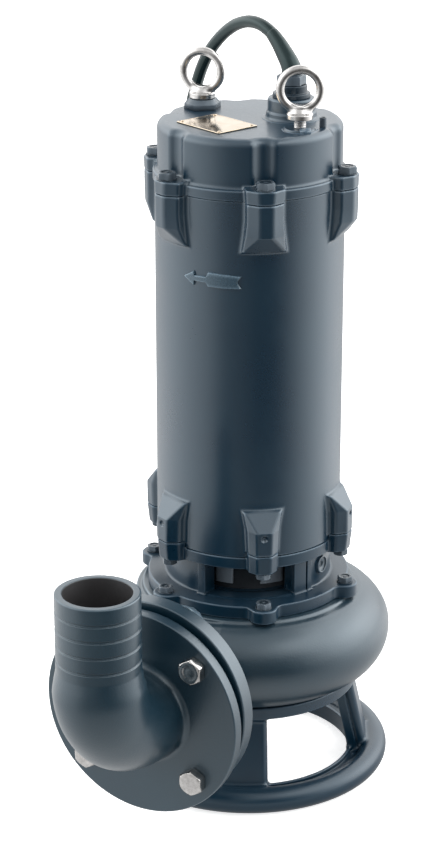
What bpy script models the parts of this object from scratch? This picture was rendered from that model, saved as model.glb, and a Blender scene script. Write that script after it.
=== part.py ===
"""Submersible sewage pump, standing on its ring foot, with an elbow hose tail.

Frame: metres, +Z up, z = 0 at the floor. The discharge points to -Y. The origin is
under the middle of the pump and its elbow, so the motor's axis stands at y = AXIS_Y.
A bearing is the angle from the discharge, turning towards +X, seen round the motor's axis.
"""

import math

import bmesh
import bpy
from mathutils import Matrix, Vector

SEAT_GAP = 0.0003

# Foot casting: ring, legs and suction plate
FOOT_RADIUS = 0.1396
FOOT_BEAD = 0.0124
FOOT_INNER_RADIUS = 0.1030
FOOT_WEB_TOP = 0.0130
PLATE_RADIUS = 0.1080
PLATE_BOTTOM = 0.0880
PLATE_TOP = 0.1000
SUCTION_RADIUS = 0.0450
LEG_BEARINGS = [26.0, 116.0, 206.0, 296.0]
LEG_WIDTH = 0.0470
LEG_THICKNESS = 0.0190
LEG_TOP_RADIUS = 0.0938
LEG_FOOT_RADIUS = 0.1125

# Volute casing
VOLUTE_HEIGHT = 0.1450
VOLUTE_SECTION_END = 0.0439
VOLUTE_SECTION_START = 0.0370
VOLUTE_REACH_END = 0.1393
VOLUTE_REACH_START = 0.1160
VOLUTE_FULL_AT = 240.0
VOLUTE_WALL = 0.0085
CASING_TOP = 0.1900
CASING_TOP_RADIUS = 0.1040
CASING_ROOF = 0.0180
IMPELLER_CHAMBER_RADIUS = 0.0720

# Discharge: casing flange, gasket, elbow and hose tail
NOZZLE_X = 0.0039
NOZZLE_HEIGHT = 0.1414
# Each flange's disc sits a little off the discharge's centre line: right, up and its radius.
CASING_RIM = (0.0005, 0.0047, 0.0984)
ELBOW_RIM = (-0.0013, -0.0020, 0.0996)
ELBOW_FLANGE_FACE = 0.2171
ELBOW_FLANGE_THICKNESS = 0.0120
GASKET_THICKNESS = 0.0040
GASKET_RADIUS = 0.0660
CASING_FLANGE_THICKNESS = 0.0170
CASING_FLANGE_FRONT = ELBOW_FLANGE_FACE - ELBOW_FLANGE_THICKNESS - GASKET_THICKNESS
CASING_FLANGE_BACK = CASING_FLANGE_FRONT - CASING_FLANGE_THICKNESS
FLANGE_BOLT_OFFSET = 0.0560
FLANGE_BOLT_RADIUS = 0.0070
FLANGE_HEX = 0.0220
TAIL_DISTANCE = 0.2894
TAIL_TOP = 0.2900
TAIL_RADIUS = 0.0384
TAIL_BORE = 0.0312
TAIL_GROOVES = [0.2740, 0.2585, 0.2430, 0.2275]
BEND_RADIUS = 0.0620
BEND_OUTER = 0.0422
NECK_OUTER = 0.0460
CASING_NECK_RADIUS = 0.0408

# Oil chamber between the casing and the motor
CHAMBER_FLANGE_TOP = 0.2030
CHAMBER_FLANGE_RADIUS = 0.0980
LOBE_CIRCLE = 0.0995
LOBE_RADIUS = 0.0130
CHAMBER_WALL_RADIUS = 0.0800
CHAMBER_WALL_THICKNESS = 0.0150
CHAMBER_RING_BOTTOM = 0.2380
CHAMBER_RING_RADIUS = 0.0896
WINDOW_HALF_ANGLE = 31.0
WINDOW_BEARINGS = [29.0, 209.0]
WINDOW_CUT = (0.0500, 0.1150)
WINDOW_OVERCUT = 0.0090
SEAL_HOUSING_RADIUS = 0.0580

# Motor shell and its lugs
SHELL_RADIUS = 0.0886
SHELL_BOTTOM = 0.2498
SHELL_TOP = 0.5955
LUG_BEARINGS = [36.2 + 60.0 * k for k in range(6)]
LUG_BOLT_CIRCLE = 0.0955
LUG_REACH = 0.1050
LOWER_LUG_SEAM = 0.2565
# The raised rotation arrow from its tip: bearing, lower edge and upper edge.
ARROW_RISE = 0.0015
ARROW_STATIONS = [
    (-13.1, 0.5207, 0.5211),
    (-6.7, 0.5139, 0.5268),
    (-6.1, 0.5182, 0.5230),
    (-2.0, 0.5182, 0.5231),
    (1.8, 0.5182, 0.5232),
    (3.0, 0.5146, 0.5276),
    (8.0, 0.5144, 0.5272),
    (13.0, 0.5142, 0.5268),
    (18.0, 0.5144, 0.5263),
    (22.8, 0.5146, 0.5258),
]

# Top cover
COVER_TOP = 0.6510
COVER_RADIUS = 0.0860
COVER_EDGE = 0.0100
COVER_RING_TOP = 0.6055
COVER_RING_RADIUS = 0.0902
EAR_TOP = 0.6085
COVER_BOLT_HEX = 0.0160
COVER_BOLT_HEAD = 0.0064
SCALLOP_RADIUS = 0.0130
SCALLOP_CIRCLE = 0.0940

# Fittings on the cover
EYE_CIRCLE = 0.0620
EYE_RIGHT_BEARING = 74.0
EYE_LEFT_BEARING = -106.0
EYE_RING_RADIUS = 0.0182
EYE_RING_TUBE = 0.0040
EYE_RIGHT_CENTRE = 0.6876
EYE_LEFT_CENTRE = 0.6862
EYE_RIGHT_SHANK = 0.0078
EYE_PAD_HEIGHT = 0.0015
EYE_HEX_PAD_HEIGHT = 0.0093
GLAND_PLACE = (0.0380, 124.5)
GLAND_TURRET_RADIUS = 0.0220
GLAND_TURRET_TOP = 0.6705
GLAND_NUT_TOP = 0.6920
PLATE_PLACE = (0.0390, -23.2)
NAMEPLATE_SIZE = (0.0600, 0.0465, 0.0010)
NAMEPLATE_TURN = -21.5
EARTH_PLACE = (0.0735, 91.5)

# Cable, its sleeve at the gland and the coil of the length that isn't seen
CABLE_RADIUS = 0.0059
SLEEVE_LENGTH = 0.0440
SLEEVE_RADII = (0.0095, 0.0062)
COIL_RADIUS = 0.0685
COIL_COLUMNS = 3
COIL_LAYERS = 6
CORE_BUNDLE_RADIUS = 0.0045

# Cable route, seen from the photograph's side: right, away and up from the motor's axis at the floor.
# The bearing of that side from the discharge:
VIEW_BEARING = 28.53
CABLE_CORNERS = [
    (0.0378, 0.0040, 0.6926),
    (0.0378, 0.0040, 0.6950),
    (0.0373, 0.0046, 0.6974),
    (0.0350, 0.0072, 0.7026),
    (0.0312, 0.0117, 0.7090),
    (0.0260, 0.0179, 0.7171),
    (0.0190, 0.0261, 0.7253),
    (0.0096, 0.0373, 0.7305),
    (-0.0009, 0.0496, 0.7308),
    (-0.0110, 0.0614, 0.7264),
    (-0.0189, 0.0707, 0.7199),
    (-0.0263, 0.0795, 0.7115),
    (-0.0336, 0.0881, 0.7010),
    (-0.0398, 0.0954, 0.6895),
    (-0.0449, 0.1014, 0.6769),
    (-0.0488, 0.1060, 0.6643),
    (-0.0521, 0.1099, 0.6518),
    (-0.0549, 0.1131, 0.6393),
    (-0.0575, 0.1185, 0.6200),
    (-0.0600, 0.1225, 0.5600),
    (-0.0620, 0.1265, 0.4800),
    (-0.0640, 0.1305, 0.4000),
    (-0.0660, 0.1350, 0.3200),
    (-0.0690, 0.1410, 0.2500),
    (-0.0710, 0.1490, 0.1900),
    (-0.0725, 0.1575, 0.1350),
    (-0.0735, 0.1645, 0.1000),
    (-0.0740, 0.1700, 0.0722),
    (-0.0741, 0.1749, 0.0473),
    (-0.0742, 0.1890, 0.0262),
    (-0.0743, 0.2050, 0.0145),
    (-0.0743, 0.2222, 0.0084),
]
COIL_CENTRE = (0.0113, 0.2560)

AXIS_Y = (TAIL_DISTANCE + BEND_OUTER - FOOT_RADIUS) / 2


def clear_scene():
    for item in list(bpy.data.objects):
        bpy.data.objects.remove(item, do_unlink=True)


def new_collection(name):
    collection = bpy.data.collections.new(name)
    bpy.context.scene.collection.children.link(collection)
    return collection


clear_scene()
PUMP = new_collection("sewage_pump")
CUTTERS = new_collection("cutters")


def make_paint(name, colour, roughness, metallic):
    material = bpy.data.materials.new(name)
    material.use_nodes = True
    shader = material.node_tree.nodes["Principled BSDF"]
    shader.inputs["Base Color"].default_value = (*colour, 1.0)
    shader.inputs["Roughness"].default_value = roughness
    shader.inputs["Metallic"].default_value = metallic
    return material


def bearing_point(radius, bearing, height):
    """A point round the motor's axis, at this bearing from the discharge."""
    turn = math.radians(bearing)
    return Vector((radius * math.sin(turn), AXIS_Y - radius * math.cos(turn), height))


def bearing_matrix(bearing):
    """Local +Y points outwards at this bearing and +Z stays up, with the origin on the motor's axis."""
    turn = math.radians(bearing)
    return Matrix.Translation((0.0, AXIS_Y, 0.0)) @ Matrix.Rotation(turn + math.pi, 4, "Z")


def add_object(name, mesh, material=None):
    item = bpy.data.objects.new(name, mesh)
    if material:
        mesh.materials.append(material)
        PUMP.objects.link(item)
    else:
        CUTTERS.objects.link(item)
        item.hide_render = True
        item.display_type = "WIRE"
    return item


def bake(item, weld=True):
    """Turns the evaluated shape into plain mesh in world axes, and welds a curve's loose caps on."""
    bpy.context.view_layer.update()
    graph = bpy.context.evaluated_depsgraph_get()
    mesh = bpy.data.meshes.new_from_object(item.evaluated_get(graph))
    mesh.transform(item.matrix_world)
    if weld:
        shape = bmesh.new()
        shape.from_mesh(mesh)
        bmesh.ops.remove_doubles(shape, verts=shape.verts, dist=0.00001)
        shape.to_mesh(mesh)
        shape.free()
    name = item.name
    materials = list(item.data.materials)
    bpy.data.objects.remove(item, do_unlink=True)
    baked = add_object(name, mesh, None if not materials else materials[0])
    if materials:
        while len(mesh.materials) > 1:
            mesh.materials.pop()
    return baked


def combine(target, tools, operation, solver="EXACT"):
    """Joins the tools to the target, or cuts them from it, and removes them.

    The castings whose round parts meet edge on edge take the MANIFOLD solver, because EXACT
    leaves slits there."""
    for tool in tools:
        modifier = target.modifiers.new(operation.lower(), "BOOLEAN")
        modifier.operation = operation
        modifier.solver = solver
        modifier.object = tool
    target = bake(target, weld=False)
    for tool in tools:
        bpy.data.objects.remove(tool, do_unlink=True)
    return target


def smooth(item, angle=35.0):
    item.data.shade_smooth()
    item.data.set_sharp_from_angle(angle=math.radians(angle))
    return item


def turned(name, profile, steps, material=None, closed=False, matrix=None):
    """A turned shape. The profile is (radius, height) pairs, down the outer side from top to bottom."""
    mesh = bpy.data.meshes.new(name)
    points = [(radius, 0.0, height) for radius, height in profile]
    edges = [(i, i + 1) for i in range(len(points) - 1)]
    if closed:
        edges.append((len(points) - 1, 0))
    mesh.from_pydata(points, edges, [])
    item = add_object(name, mesh, material)
    screw = item.modifiers.new("turn", "SCREW")
    screw.axis = "Z"
    screw.steps = steps
    screw.render_steps = steps
    screw.use_merge_vertices = True
    screw.merge_threshold = 0.00001
    item.matrix_world = matrix or Matrix.Translation((0.0, AXIS_Y, 0.0))
    return bake(item)


def cylinder(name, radius, bottom, top, steps, matrix, material=None):
    """A plain round bar along local +Z of the matrix."""
    profile = [(0.0, top), (radius, top), (radius, bottom), (0.0, bottom)]
    return turned(name, profile, steps, material, matrix=matrix)


def hexagon_bar(name, across_flats, bottom, top, matrix, material=None):
    """A hexagonal bar along local +Z, made from a six-sided cylinder."""
    mesh = bpy.data.meshes.new(name)
    shape = bmesh.new()
    corner = across_flats / math.sqrt(3.0)
    bmesh.ops.create_cone(
        shape, cap_ends=True, segments=6, radius1=corner, radius2=corner, depth=top - bottom
    )
    bmesh.ops.translate(shape, verts=shape.verts, vec=(0.0, 0.0, (top + bottom) / 2))
    shape.to_mesh(mesh)
    shape.free()
    item = add_object(name, mesh, material)
    item.matrix_world = matrix
    return bake(item)


def box(name, size, centre, matrix, material=None):
    mesh = bpy.data.meshes.new(name)
    shape = bmesh.new()
    bmesh.ops.create_cube(shape, size=1.0)
    bmesh.ops.scale(shape, verts=shape.verts, vec=size)
    bmesh.ops.translate(shape, verts=shape.verts, vec=centre)
    shape.to_mesh(mesh)
    shape.free()
    item = add_object(name, mesh, material)
    item.matrix_world = matrix
    return bake(item)


def tube(name, points, radii, resolution, material=None):
    """A tube along the points, with its own radius at each of them and closed ends."""
    curve = bpy.data.curves.new(name, "CURVE")
    curve.dimensions = "3D"
    curve.twist_mode = "MINIMUM"
    curve.bevel_depth = 1.0
    curve.bevel_resolution = resolution
    curve.use_fill_caps = True
    spline = curve.splines.new("POLY")
    spline.points.add(len(points) - 1)
    for point, place, radius in zip(spline.points, points, radii):
        point.co = (*place, 1.0)
        point.radius = radius
    if material:
        curve.materials.append(material)
    item = bpy.data.objects.new(name, curve)
    PUMP.objects.link(item)
    return bake(item)


def loft(name, sections, matrix, material=None):
    """A closed skin through sections with the same number of points."""
    mesh = bpy.data.meshes.new(name)
    shape = bmesh.new()
    rings = [[shape.verts.new(point) for point in section] for section in sections]
    for lower, upper in zip(rings, rings[1:]):
        for i in range(len(lower)):
            j = (i + 1) % len(lower)
            shape.faces.new((lower[i], lower[j], upper[j], upper[i]))
    shape.faces.new(list(reversed(rings[0])))
    shape.faces.new(rings[-1])
    bmesh.ops.recalc_face_normals(shape, faces=shape.faces)
    shape.to_mesh(mesh)
    shape.free()
    item = add_object(name, mesh, material)
    item.matrix_world = matrix
    return bake(item)


def smooth_route(corners, per_span):
    """Points on the smooth curve that runs through all the corners."""
    knots = [Vector(corner) for corner in corners]
    knots = [knots[0] * 2 - knots[1]] + knots + [knots[-1] * 2 - knots[-2]]
    route = []
    for before, start, end, after in zip(knots, knots[1:], knots[2:], knots[3:]):
        for step in range(per_span):
            t = step / per_span
            route.append(
                0.5
                * (
                    2 * start
                    + (end - before) * t
                    + (2 * before - 5 * start + 4 * end - after) * t**2
                    + (3 * start - before - 3 * end + after) * t**3
                )
            )
    route.append(knots[-2])
    return route


CAST_PAINT = make_paint("cast_paint", (0.045, 0.075, 0.095), 0.38, 0.0)
SAND_CAST_PAINT = make_paint("sand_cast_paint", (0.045, 0.068, 0.085), 0.48, 0.0)
ZINC = make_paint("zinc_steel", (0.62, 0.60, 0.55), 0.32, 1.0)
DARK_BOLT = make_paint("painted_bolt", (0.05, 0.07, 0.085), 0.4, 0.3)
GASKET_RUBBER = make_paint("gasket_rubber", (0.02, 0.02, 0.02), 0.7, 0.0)
PLATE_BRASS = make_paint("plate_metal", (0.72, 0.62, 0.48), 0.35, 0.8)
CABLE_RUBBER = make_paint("cable_rubber", (0.035, 0.05, 0.05), 0.55, 0.0)
CORE_INSULATION = make_paint("core_insulation", (0.35, 0.25, 0.12), 0.5, 0.0)


def round_section(reach, radius, count):
    """The section of a round ring: (radius, height) pairs, down the outer side from the top."""
    turns = [2 * math.pi * k / count for k in range(count)]
    return [(reach + radius * math.sin(turn), radius * math.cos(turn)) for turn in turns]


def build_suction_stand():
    """One casting: the suction plate, four flat legs that lean out, and the ring foot."""
    bead = (FOOT_RADIUS - FOOT_BEAD, FOOT_BEAD)
    arc = [
        (bead[0] + FOOT_BEAD * math.sin(turn), bead[1] + FOOT_BEAD * math.cos(turn))
        for turn in (math.radians(angle) for angle in (-60, -30, 0, 30, 60, 90, 120, 150))
    ]
    web = [
        (FOOT_INNER_RADIUS, 0.0),
        (FOOT_INNER_RADIUS, FOOT_WEB_TOP + 0.004),
        (FOOT_INNER_RADIUS + 0.003, FOOT_WEB_TOP + 0.004),
        (FOOT_INNER_RADIUS + 0.004, FOOT_WEB_TOP),
        (bead[0] - FOOT_BEAD, FOOT_WEB_TOP),
    ]
    foot = turned(
        "suction_stand", arc + [(bead[0] + 0.002, 0.0)] + web, 40, CAST_PAINT, closed=True
    )
    plate = turned(
        "plate",
        [
            (SUCTION_RADIUS, PLATE_TOP),
            (PLATE_RADIUS, PLATE_TOP),
            (PLATE_RADIUS, PLATE_BOTTOM),
            (SUCTION_RADIUS, PLATE_BOTTOM),
        ],
        40,
        closed=True,
    )
    legs = []
    for bearing in LEG_BEARINGS:
        sections = []
        for radius, height, width, thickness in (
            (LEG_FOOT_RADIUS, FOOT_WEB_TOP - 0.006, LEG_WIDTH, LEG_THICKNESS),
            (LEG_TOP_RADIUS, PLATE_BOTTOM + 0.004, LEG_WIDTH * 0.9, LEG_THICKNESS),
        ):
            half = width / 2
            bevel = 0.004
            inner = radius - thickness / 2
            outer = radius + thickness / 2
            sections.append(
                [
                    (half - bevel, inner, height),
                    (half, inner + bevel, height),
                    (half, outer - bevel, height),
                    (half - bevel, outer, height),
                    (bevel - half, outer, height),
                    (-half, outer - bevel, height),
                    (-half, inner + bevel, height),
                    (bevel - half, inner, height),
                ]
            )
        legs.append(loft("leg", sections, bearing_matrix(bearing)))
    smooth(combine(foot, [plate] + legs, "UNION"))


def volute_path(shrink):
    """Centre points and radii of the volute's round section, growing towards the discharge."""
    points = []
    radii = []
    for turn in range(10, 351, 17):
        grown = min(turn / VOLUTE_FULL_AT, 1.0)
        reach = VOLUTE_REACH_START + (VOLUTE_REACH_END - VOLUTE_REACH_START) * grown
        section = VOLUTE_SECTION_START + (VOLUTE_SECTION_END - VOLUTE_SECTION_START) * grown
        points.append(bearing_point(reach - section, -turn, VOLUTE_HEIGHT))
        radii.append(section - shrink)
    return points, radii


def nozzle_matrix(distance=0.0):
    """Local +Z points out along the discharge, with the origin on its centre line."""
    return Matrix.Translation((NOZZLE_X, AXIS_Y - distance, NOZZLE_HEIGHT)) @ Matrix.Rotation(
        math.pi / 2, 4, "X"
    )


def flange_bolt_places():
    """The four bolts, as offsets from the centre of the discharge, anticlockwise from the upper right."""
    step = FLANGE_BOLT_OFFSET
    return [(step, step), (-step, step), (-step, -step), (step, -step)]


def flange_bolt_matrix(place):
    """The axis of one flange bolt: local +Z points out along the discharge."""
    return nozzle_matrix() @ Matrix.Translation((place[0], place[1], 0.0))



def build_volute_casing():
    """The spiral casing: open below for the suction plate, with the discharge flange in front."""
    points, radii = volute_path(0.0)
    casing = tube("volute_casing", points, radii, 8, SAND_CAST_PAINT)
    drum = turned(
        "drum",
        [
            (0.0, CASING_TOP),
            (CASING_TOP_RADIUS, CASING_TOP),
            (CASING_TOP_RADIUS + 0.003, CASING_TOP - 0.006),
            (CASING_TOP_RADIUS, PLATE_TOP + SEAT_GAP),
            (0.0, PLATE_TOP + SEAT_GAP),
        ],
        48,
    )
    neck_end = CASING_FLANGE_BACK + 0.004
    neck = cylinder("neck", CASING_NECK_RADIUS, 0.060, neck_end, 32, nozzle_matrix())
    right, up, radius = CASING_RIM
    rim = nozzle_matrix() @ Matrix.Translation((right, up, 0.0))
    flange = cylinder("flange", radius, CASING_FLANGE_BACK, CASING_FLANGE_FRONT, 56, rim)
    casing = combine(casing, [drum, neck, flange], "UNION", "MANIFOLD")
    inner_points, inner_radii = volute_path(VOLUTE_WALL)
    hollow = tube("hollow", inner_points, inner_radii, 4)
    chamber = cylinder(
        "chamber",
        IMPELLER_CHAMBER_RADIUS,
        PLATE_TOP - 0.005,
        CASING_TOP - CASING_ROOF,
        40,
        Matrix.Translation((0.0, AXIS_Y, 0.0)),
    )
    bore = cylinder("bore", TAIL_BORE, 0.080, CASING_FLANGE_FRONT + 0.010, 28, nozzle_matrix())
    holes = [
        cylinder(
            "hole",
            FLANGE_BOLT_RADIUS + 0.0006,
            CASING_FLANGE_BACK - 0.004,
            CASING_FLANGE_FRONT + 0.004,
            12,
            flange_bolt_matrix(place),
        )
        for place in flange_bolt_places()
    ]
    smooth(combine(casing, [hollow, chamber, bore] + holes, "DIFFERENCE", "MANIFOLD"))


def build_impeller():
    """A two-vane open impeller, seen from below through the suction hole."""
    hub_top = CASING_TOP - CASING_ROOF - SEAT_GAP
    impeller = turned(
        "impeller",
        [
            (0.0, hub_top),
            (0.020, hub_top),
            (0.020, 0.158),
            (0.066, 0.152),
            (0.066, 0.147),
            (0.020, 0.147),
            (0.014, 0.120),
            (0.0, 0.116),
        ],
        32,
        CAST_PAINT,
    )
    vanes = []
    for start in (0.0, 180.0):
        ring = []
        for side in (1, -1):
            arc = []
            for step in range(9):
                radius = 0.012 + 0.052 * step / 8
                bearing = start + side * math.degrees(0.0035 / radius) - 150.0 * step / 8
                arc.append(bearing_point(radius, bearing, 0.0))
            ring += arc if side == 1 else list(reversed(arc))
        sections = [[(p.x, p.y, height) for p in ring] for height in (0.112, 0.150)]
        vanes.append(loft("vane", sections, Matrix.Identity(4)))
    smooth(combine(impeller, vanes, "UNION"))


def build_discharge():
    """The gasket, the elbow with its flange and ribbed hose tail, and the four bolts."""
    gasket_back = CASING_FLANGE_FRONT + SEAT_GAP
    gasket_front = CASING_FLANGE_FRONT + GASKET_THICKNESS - SEAT_GAP
    turned(
        "flange_gasket",
        [
            (TAIL_BORE, gasket_front),
            (GASKET_RADIUS, gasket_front),
            (GASKET_RADIUS, gasket_back),
            (TAIL_BORE, gasket_back),
        ],
        40,
        GASKET_RUBBER,
        closed=True,
        matrix=nozzle_matrix(),
    )
    flange_back = ELBOW_FLANGE_FACE - ELBOW_FLANGE_THICKNESS
    right, up, radius = ELBOW_RIM
    rim = nozzle_matrix() @ Matrix.Translation((right, up, 0.0))
    elbow = cylinder(
        "discharge_elbow", radius, flange_back, ELBOW_FLANGE_FACE, 56, rim, SAND_CAST_PAINT
    )
    steps = 7
    route = [Vector((NOZZLE_X, AXIS_Y - flange_back - 0.002, NOZZLE_HEIGHT))]
    widths = [NECK_OUTER]
    for step in range(steps + 1):
        turn = math.pi / 2 * step / steps
        reach = TAIL_DISTANCE - BEND_RADIUS * (1 - math.sin(turn))
        height = NOZZLE_HEIGHT + BEND_RADIUS * (1 - math.cos(turn))
        route.append(Vector((NOZZLE_X, AXIS_Y - reach, height)))
        widths.append(NECK_OUTER + (BEND_OUTER - NECK_OUTER) * min(1.0, step / 4))
    route.append(Vector((NOZZLE_X, AXIS_Y - TAIL_DISTANCE, TAIL_GROOVES[-1] - 0.012)))
    widths.append(TAIL_RADIUS + 0.001)
    bend = tube("bend", route, widths, 10)
    profile = [(0.0, TAIL_TOP), (TAIL_RADIUS - 0.001, TAIL_TOP), (TAIL_RADIUS, TAIL_TOP - 0.001)]
    for groove in TAIL_GROOVES:
        profile += [
            (TAIL_RADIUS, groove + 0.0008),
            (TAIL_RADIUS - 0.0012, groove),
            (TAIL_RADIUS - 0.0004, groove - 0.0012),
        ]
    profile += [(TAIL_RADIUS, TAIL_GROOVES[-1] - 0.006), (TAIL_RADIUS, 0.205), (0.0, 0.205)]
    tail_matrix = Matrix.Translation((NOZZLE_X, AXIS_Y - TAIL_DISTANCE, 0.0))
    tail = turned("tail", profile, 32, matrix=tail_matrix)
    elbow = combine(elbow, [bend, tail], "UNION", "MANIFOLD")
    bore_route = [Vector((NOZZLE_X, AXIS_Y - flange_back + 0.010, NOZZLE_HEIGHT))]
    bore_route += route[1:-1]
    bore_route.append(Vector((NOZZLE_X, AXIS_Y - TAIL_DISTANCE, TAIL_TOP + 0.010)))
    bore = tube("bore", bore_route, [TAIL_BORE] * len(bore_route), 8)
    holes = [
        cylinder(
            "hole",
            FLANGE_BOLT_RADIUS + 0.0006,
            flange_back - 0.004,
            ELBOW_FLANGE_FACE + 0.004,
            12,
            flange_bolt_matrix(place),
        )
        for place in flange_bolt_places()
    ]
    smooth(combine(elbow, [bore] + holes, "DIFFERENCE", "MANIFOLD"))
    for number, place in enumerate(flange_bolt_places(), 1):
        matrix = flange_bolt_matrix(place)
        head_seat = ELBOW_FLANGE_FACE + SEAT_GAP
        nut_seat = CASING_FLANGE_BACK - SEAT_GAP
        bolt = cylinder(
            f"flange_bolt_{number}",
            FLANGE_BOLT_RADIUS,
            nut_seat - 0.0175,
            head_seat + 0.002,
            12,
            matrix,
            ZINC,
        )
        head = hexagon_bar("head", FLANGE_HEX, head_seat, head_seat + 0.0095, matrix)
        nut = hexagon_bar("nut", FLANGE_HEX, nut_seat - 0.012, nut_seat, matrix)
        smooth(combine(bolt, [head, nut], "UNION"))


def lug_outline(height, half_width, shoulder, nose, reach, inner):
    """One level of a lug: flat sides, slanted cheeks and a narrow nose, anticlockwise from above."""
    return [
        (half_width, inner, height),
        (half_width, shoulder, height),
        (nose, reach, height),
        (-nose, reach, height),
        (-half_width, shoulder, height),
        (-half_width, inner, height),
    ]


def lug(name, levels, bearing):
    return loft(name, [lug_outline(*level) for level in levels], bearing_matrix(bearing))


def lug_bolt_matrix(bearing, height):
    place = bearing_point(LUG_BOLT_CIRCLE, bearing, height)
    return Matrix.Translation(place) @ Matrix.Rotation(math.radians(bearing), 4, "Z")


def build_oil_chamber():
    """The bracket casting: a lobed flange, two curved walls with a window between them,
    the upper ring and the six lugs that carry the motor."""
    centre = Matrix.Translation((0.0, AXIS_Y, 0.0))
    bottom = CASING_TOP + SEAT_GAP
    chamber = turned(
        "oil_chamber",
        [
            (0.0, CHAMBER_FLANGE_TOP),
            (CHAMBER_FLANGE_RADIUS - 0.001, CHAMBER_FLANGE_TOP),
            (CHAMBER_FLANGE_RADIUS, CHAMBER_FLANGE_TOP - 0.001),
            (CHAMBER_FLANGE_RADIUS, bottom),
            (0.0, bottom),
        ],
        48,
        CAST_PAINT,
    )
    inner = CHAMBER_WALL_RADIUS - CHAMBER_WALL_THICKNESS
    wall = turned(
        "wall",
        [
            (inner, CHAMBER_RING_BOTTOM + 0.003),
            (CHAMBER_WALL_RADIUS, CHAMBER_RING_BOTTOM + 0.003),
            (CHAMBER_WALL_RADIUS, CHAMBER_FLANGE_TOP - 0.003),
            (inner, CHAMBER_FLANGE_TOP - 0.003),
        ],
        40,
        closed=True,
    )
    windows = []
    for bearing in WINDOW_BEARINGS:
        sides = [
            bearing_point(reach, bearing + turn, 0.0)
            for turn, reach in (
                (-WINDOW_HALF_ANGLE, WINDOW_CUT[0]),
                (-WINDOW_HALF_ANGLE, WINDOW_CUT[1]),
                (WINDOW_HALF_ANGLE, WINDOW_CUT[1]),
                (WINDOW_HALF_ANGLE, WINDOW_CUT[0]),
            )
        ]
        levels = [
            [(place[0], place[1], height) for place in sides]
            for height in (CHAMBER_FLANGE_TOP - WINDOW_OVERCUT, CHAMBER_RING_BOTTOM + WINDOW_OVERCUT)
        ]
        windows.append(loft("window", levels, Matrix.Identity(4)))
    wall = combine(wall, windows, "DIFFERENCE")
    ring = cylinder(
        "ring", CHAMBER_RING_RADIUS, CHAMBER_RING_BOTTOM, SHELL_BOTTOM - SEAT_GAP, 48, centre
    )
    lobes = [
        cylinder(
            "lobe",
            LOBE_RADIUS,
            bottom,
            CHAMBER_FLANGE_TOP - 0.0005,
            16,
            Matrix.Translation(bearing_point(LOBE_CIRCLE, bearing, 0.0)),
        )
        for bearing in LUG_BEARINGS
    ]
    levels = [
        (CHAMBER_RING_BOTTOM - 0.0007, 0.0138, 0.0950, 0.0065, 0.1030, SHELL_RADIUS + SEAT_GAP),
        (LOWER_LUG_SEAM - SEAT_GAP, 0.0144, 0.0960, 0.0070, LUG_REACH, SHELL_RADIUS + SEAT_GAP),
    ]
    lugs = [lug("lug", levels, bearing) for bearing in LUG_BEARINGS]
    chamber = combine(chamber, [wall, ring] + lobes, "UNION", "MANIFOLD")
    chamber = combine(chamber, lugs, "UNION", "MANIFOLD")
    holes = [
        cylinder("hole", 0.0046, -0.030, 0.005, 10, lug_bolt_matrix(bearing, LOWER_LUG_SEAM))
        for bearing in LUG_BEARINGS
    ]
    holes += [
        cylinder(
            "hole",
            0.0046,
            bottom - 0.004,
            CHAMBER_FLANGE_TOP + 0.004,
            10,
            Matrix.Translation(bearing_point(LOBE_CIRCLE + 0.001, bearing, 0.0)),
        )
        for bearing in LUG_BEARINGS
    ]
    smooth(combine(chamber, holes, "DIFFERENCE", "MANIFOLD"))
    smooth(
        turned(
            "seal_housing",
            [
                (0.0, CHAMBER_RING_BOTTOM - SEAT_GAP),
                (SEAL_HOUSING_RADIUS + 0.004, CHAMBER_RING_BOTTOM - SEAT_GAP),
                (SEAL_HOUSING_RADIUS + 0.004, CHAMBER_RING_BOTTOM - 0.007),
                (SEAL_HOUSING_RADIUS, CHAMBER_RING_BOTTOM - 0.010),
                (SEAL_HOUSING_RADIUS, CHAMBER_FLANGE_TOP + SEAT_GAP),
                (0.0, CHAMBER_FLANGE_TOP + SEAT_GAP),
            ],
            32,
            CAST_PAINT,
        )
    )


def build_chamber_bolts():
    """Six bolts that hold the oil chamber down, and six from below that hold the motor on it."""
    for number, bearing in enumerate(LUG_BEARINGS, 1):
        matrix = Matrix.Translation(bearing_point(LOBE_CIRCLE + 0.001, bearing, 0.0))
        matrix = matrix @ Matrix.Rotation(math.radians(bearing), 4, "Z")
        seat = CHAMBER_FLANGE_TOP + SEAT_GAP
        bolt = cylinder(
            f"chamber_bolt_{number}",
            0.0040,
            CASING_TOP + 2 * SEAT_GAP,
            seat + 0.002,
            10,
            matrix,
            DARK_BOLT,
        )
        head = hexagon_bar("head", 0.0130, seat, seat + 0.0055, matrix)
        smooth(combine(bolt, [head], "UNION"))
    for number, bearing in enumerate(LUG_BEARINGS, 1):
        matrix = lug_bolt_matrix(bearing, 0.0)
        seat = CHAMBER_RING_BOTTOM - 0.0007 - SEAT_GAP
        bolt = cylinder(
            f"bracket_bolt_{number}",
            0.0040,
            seat - 0.002,
            LOWER_LUG_SEAM - SEAT_GAP,
            10,
            matrix,
            DARK_BOLT,
        )
        head = hexagon_bar("head", 0.0130, seat - 0.0055, seat, matrix)
        smooth(combine(bolt, [head], "UNION"))


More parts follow.
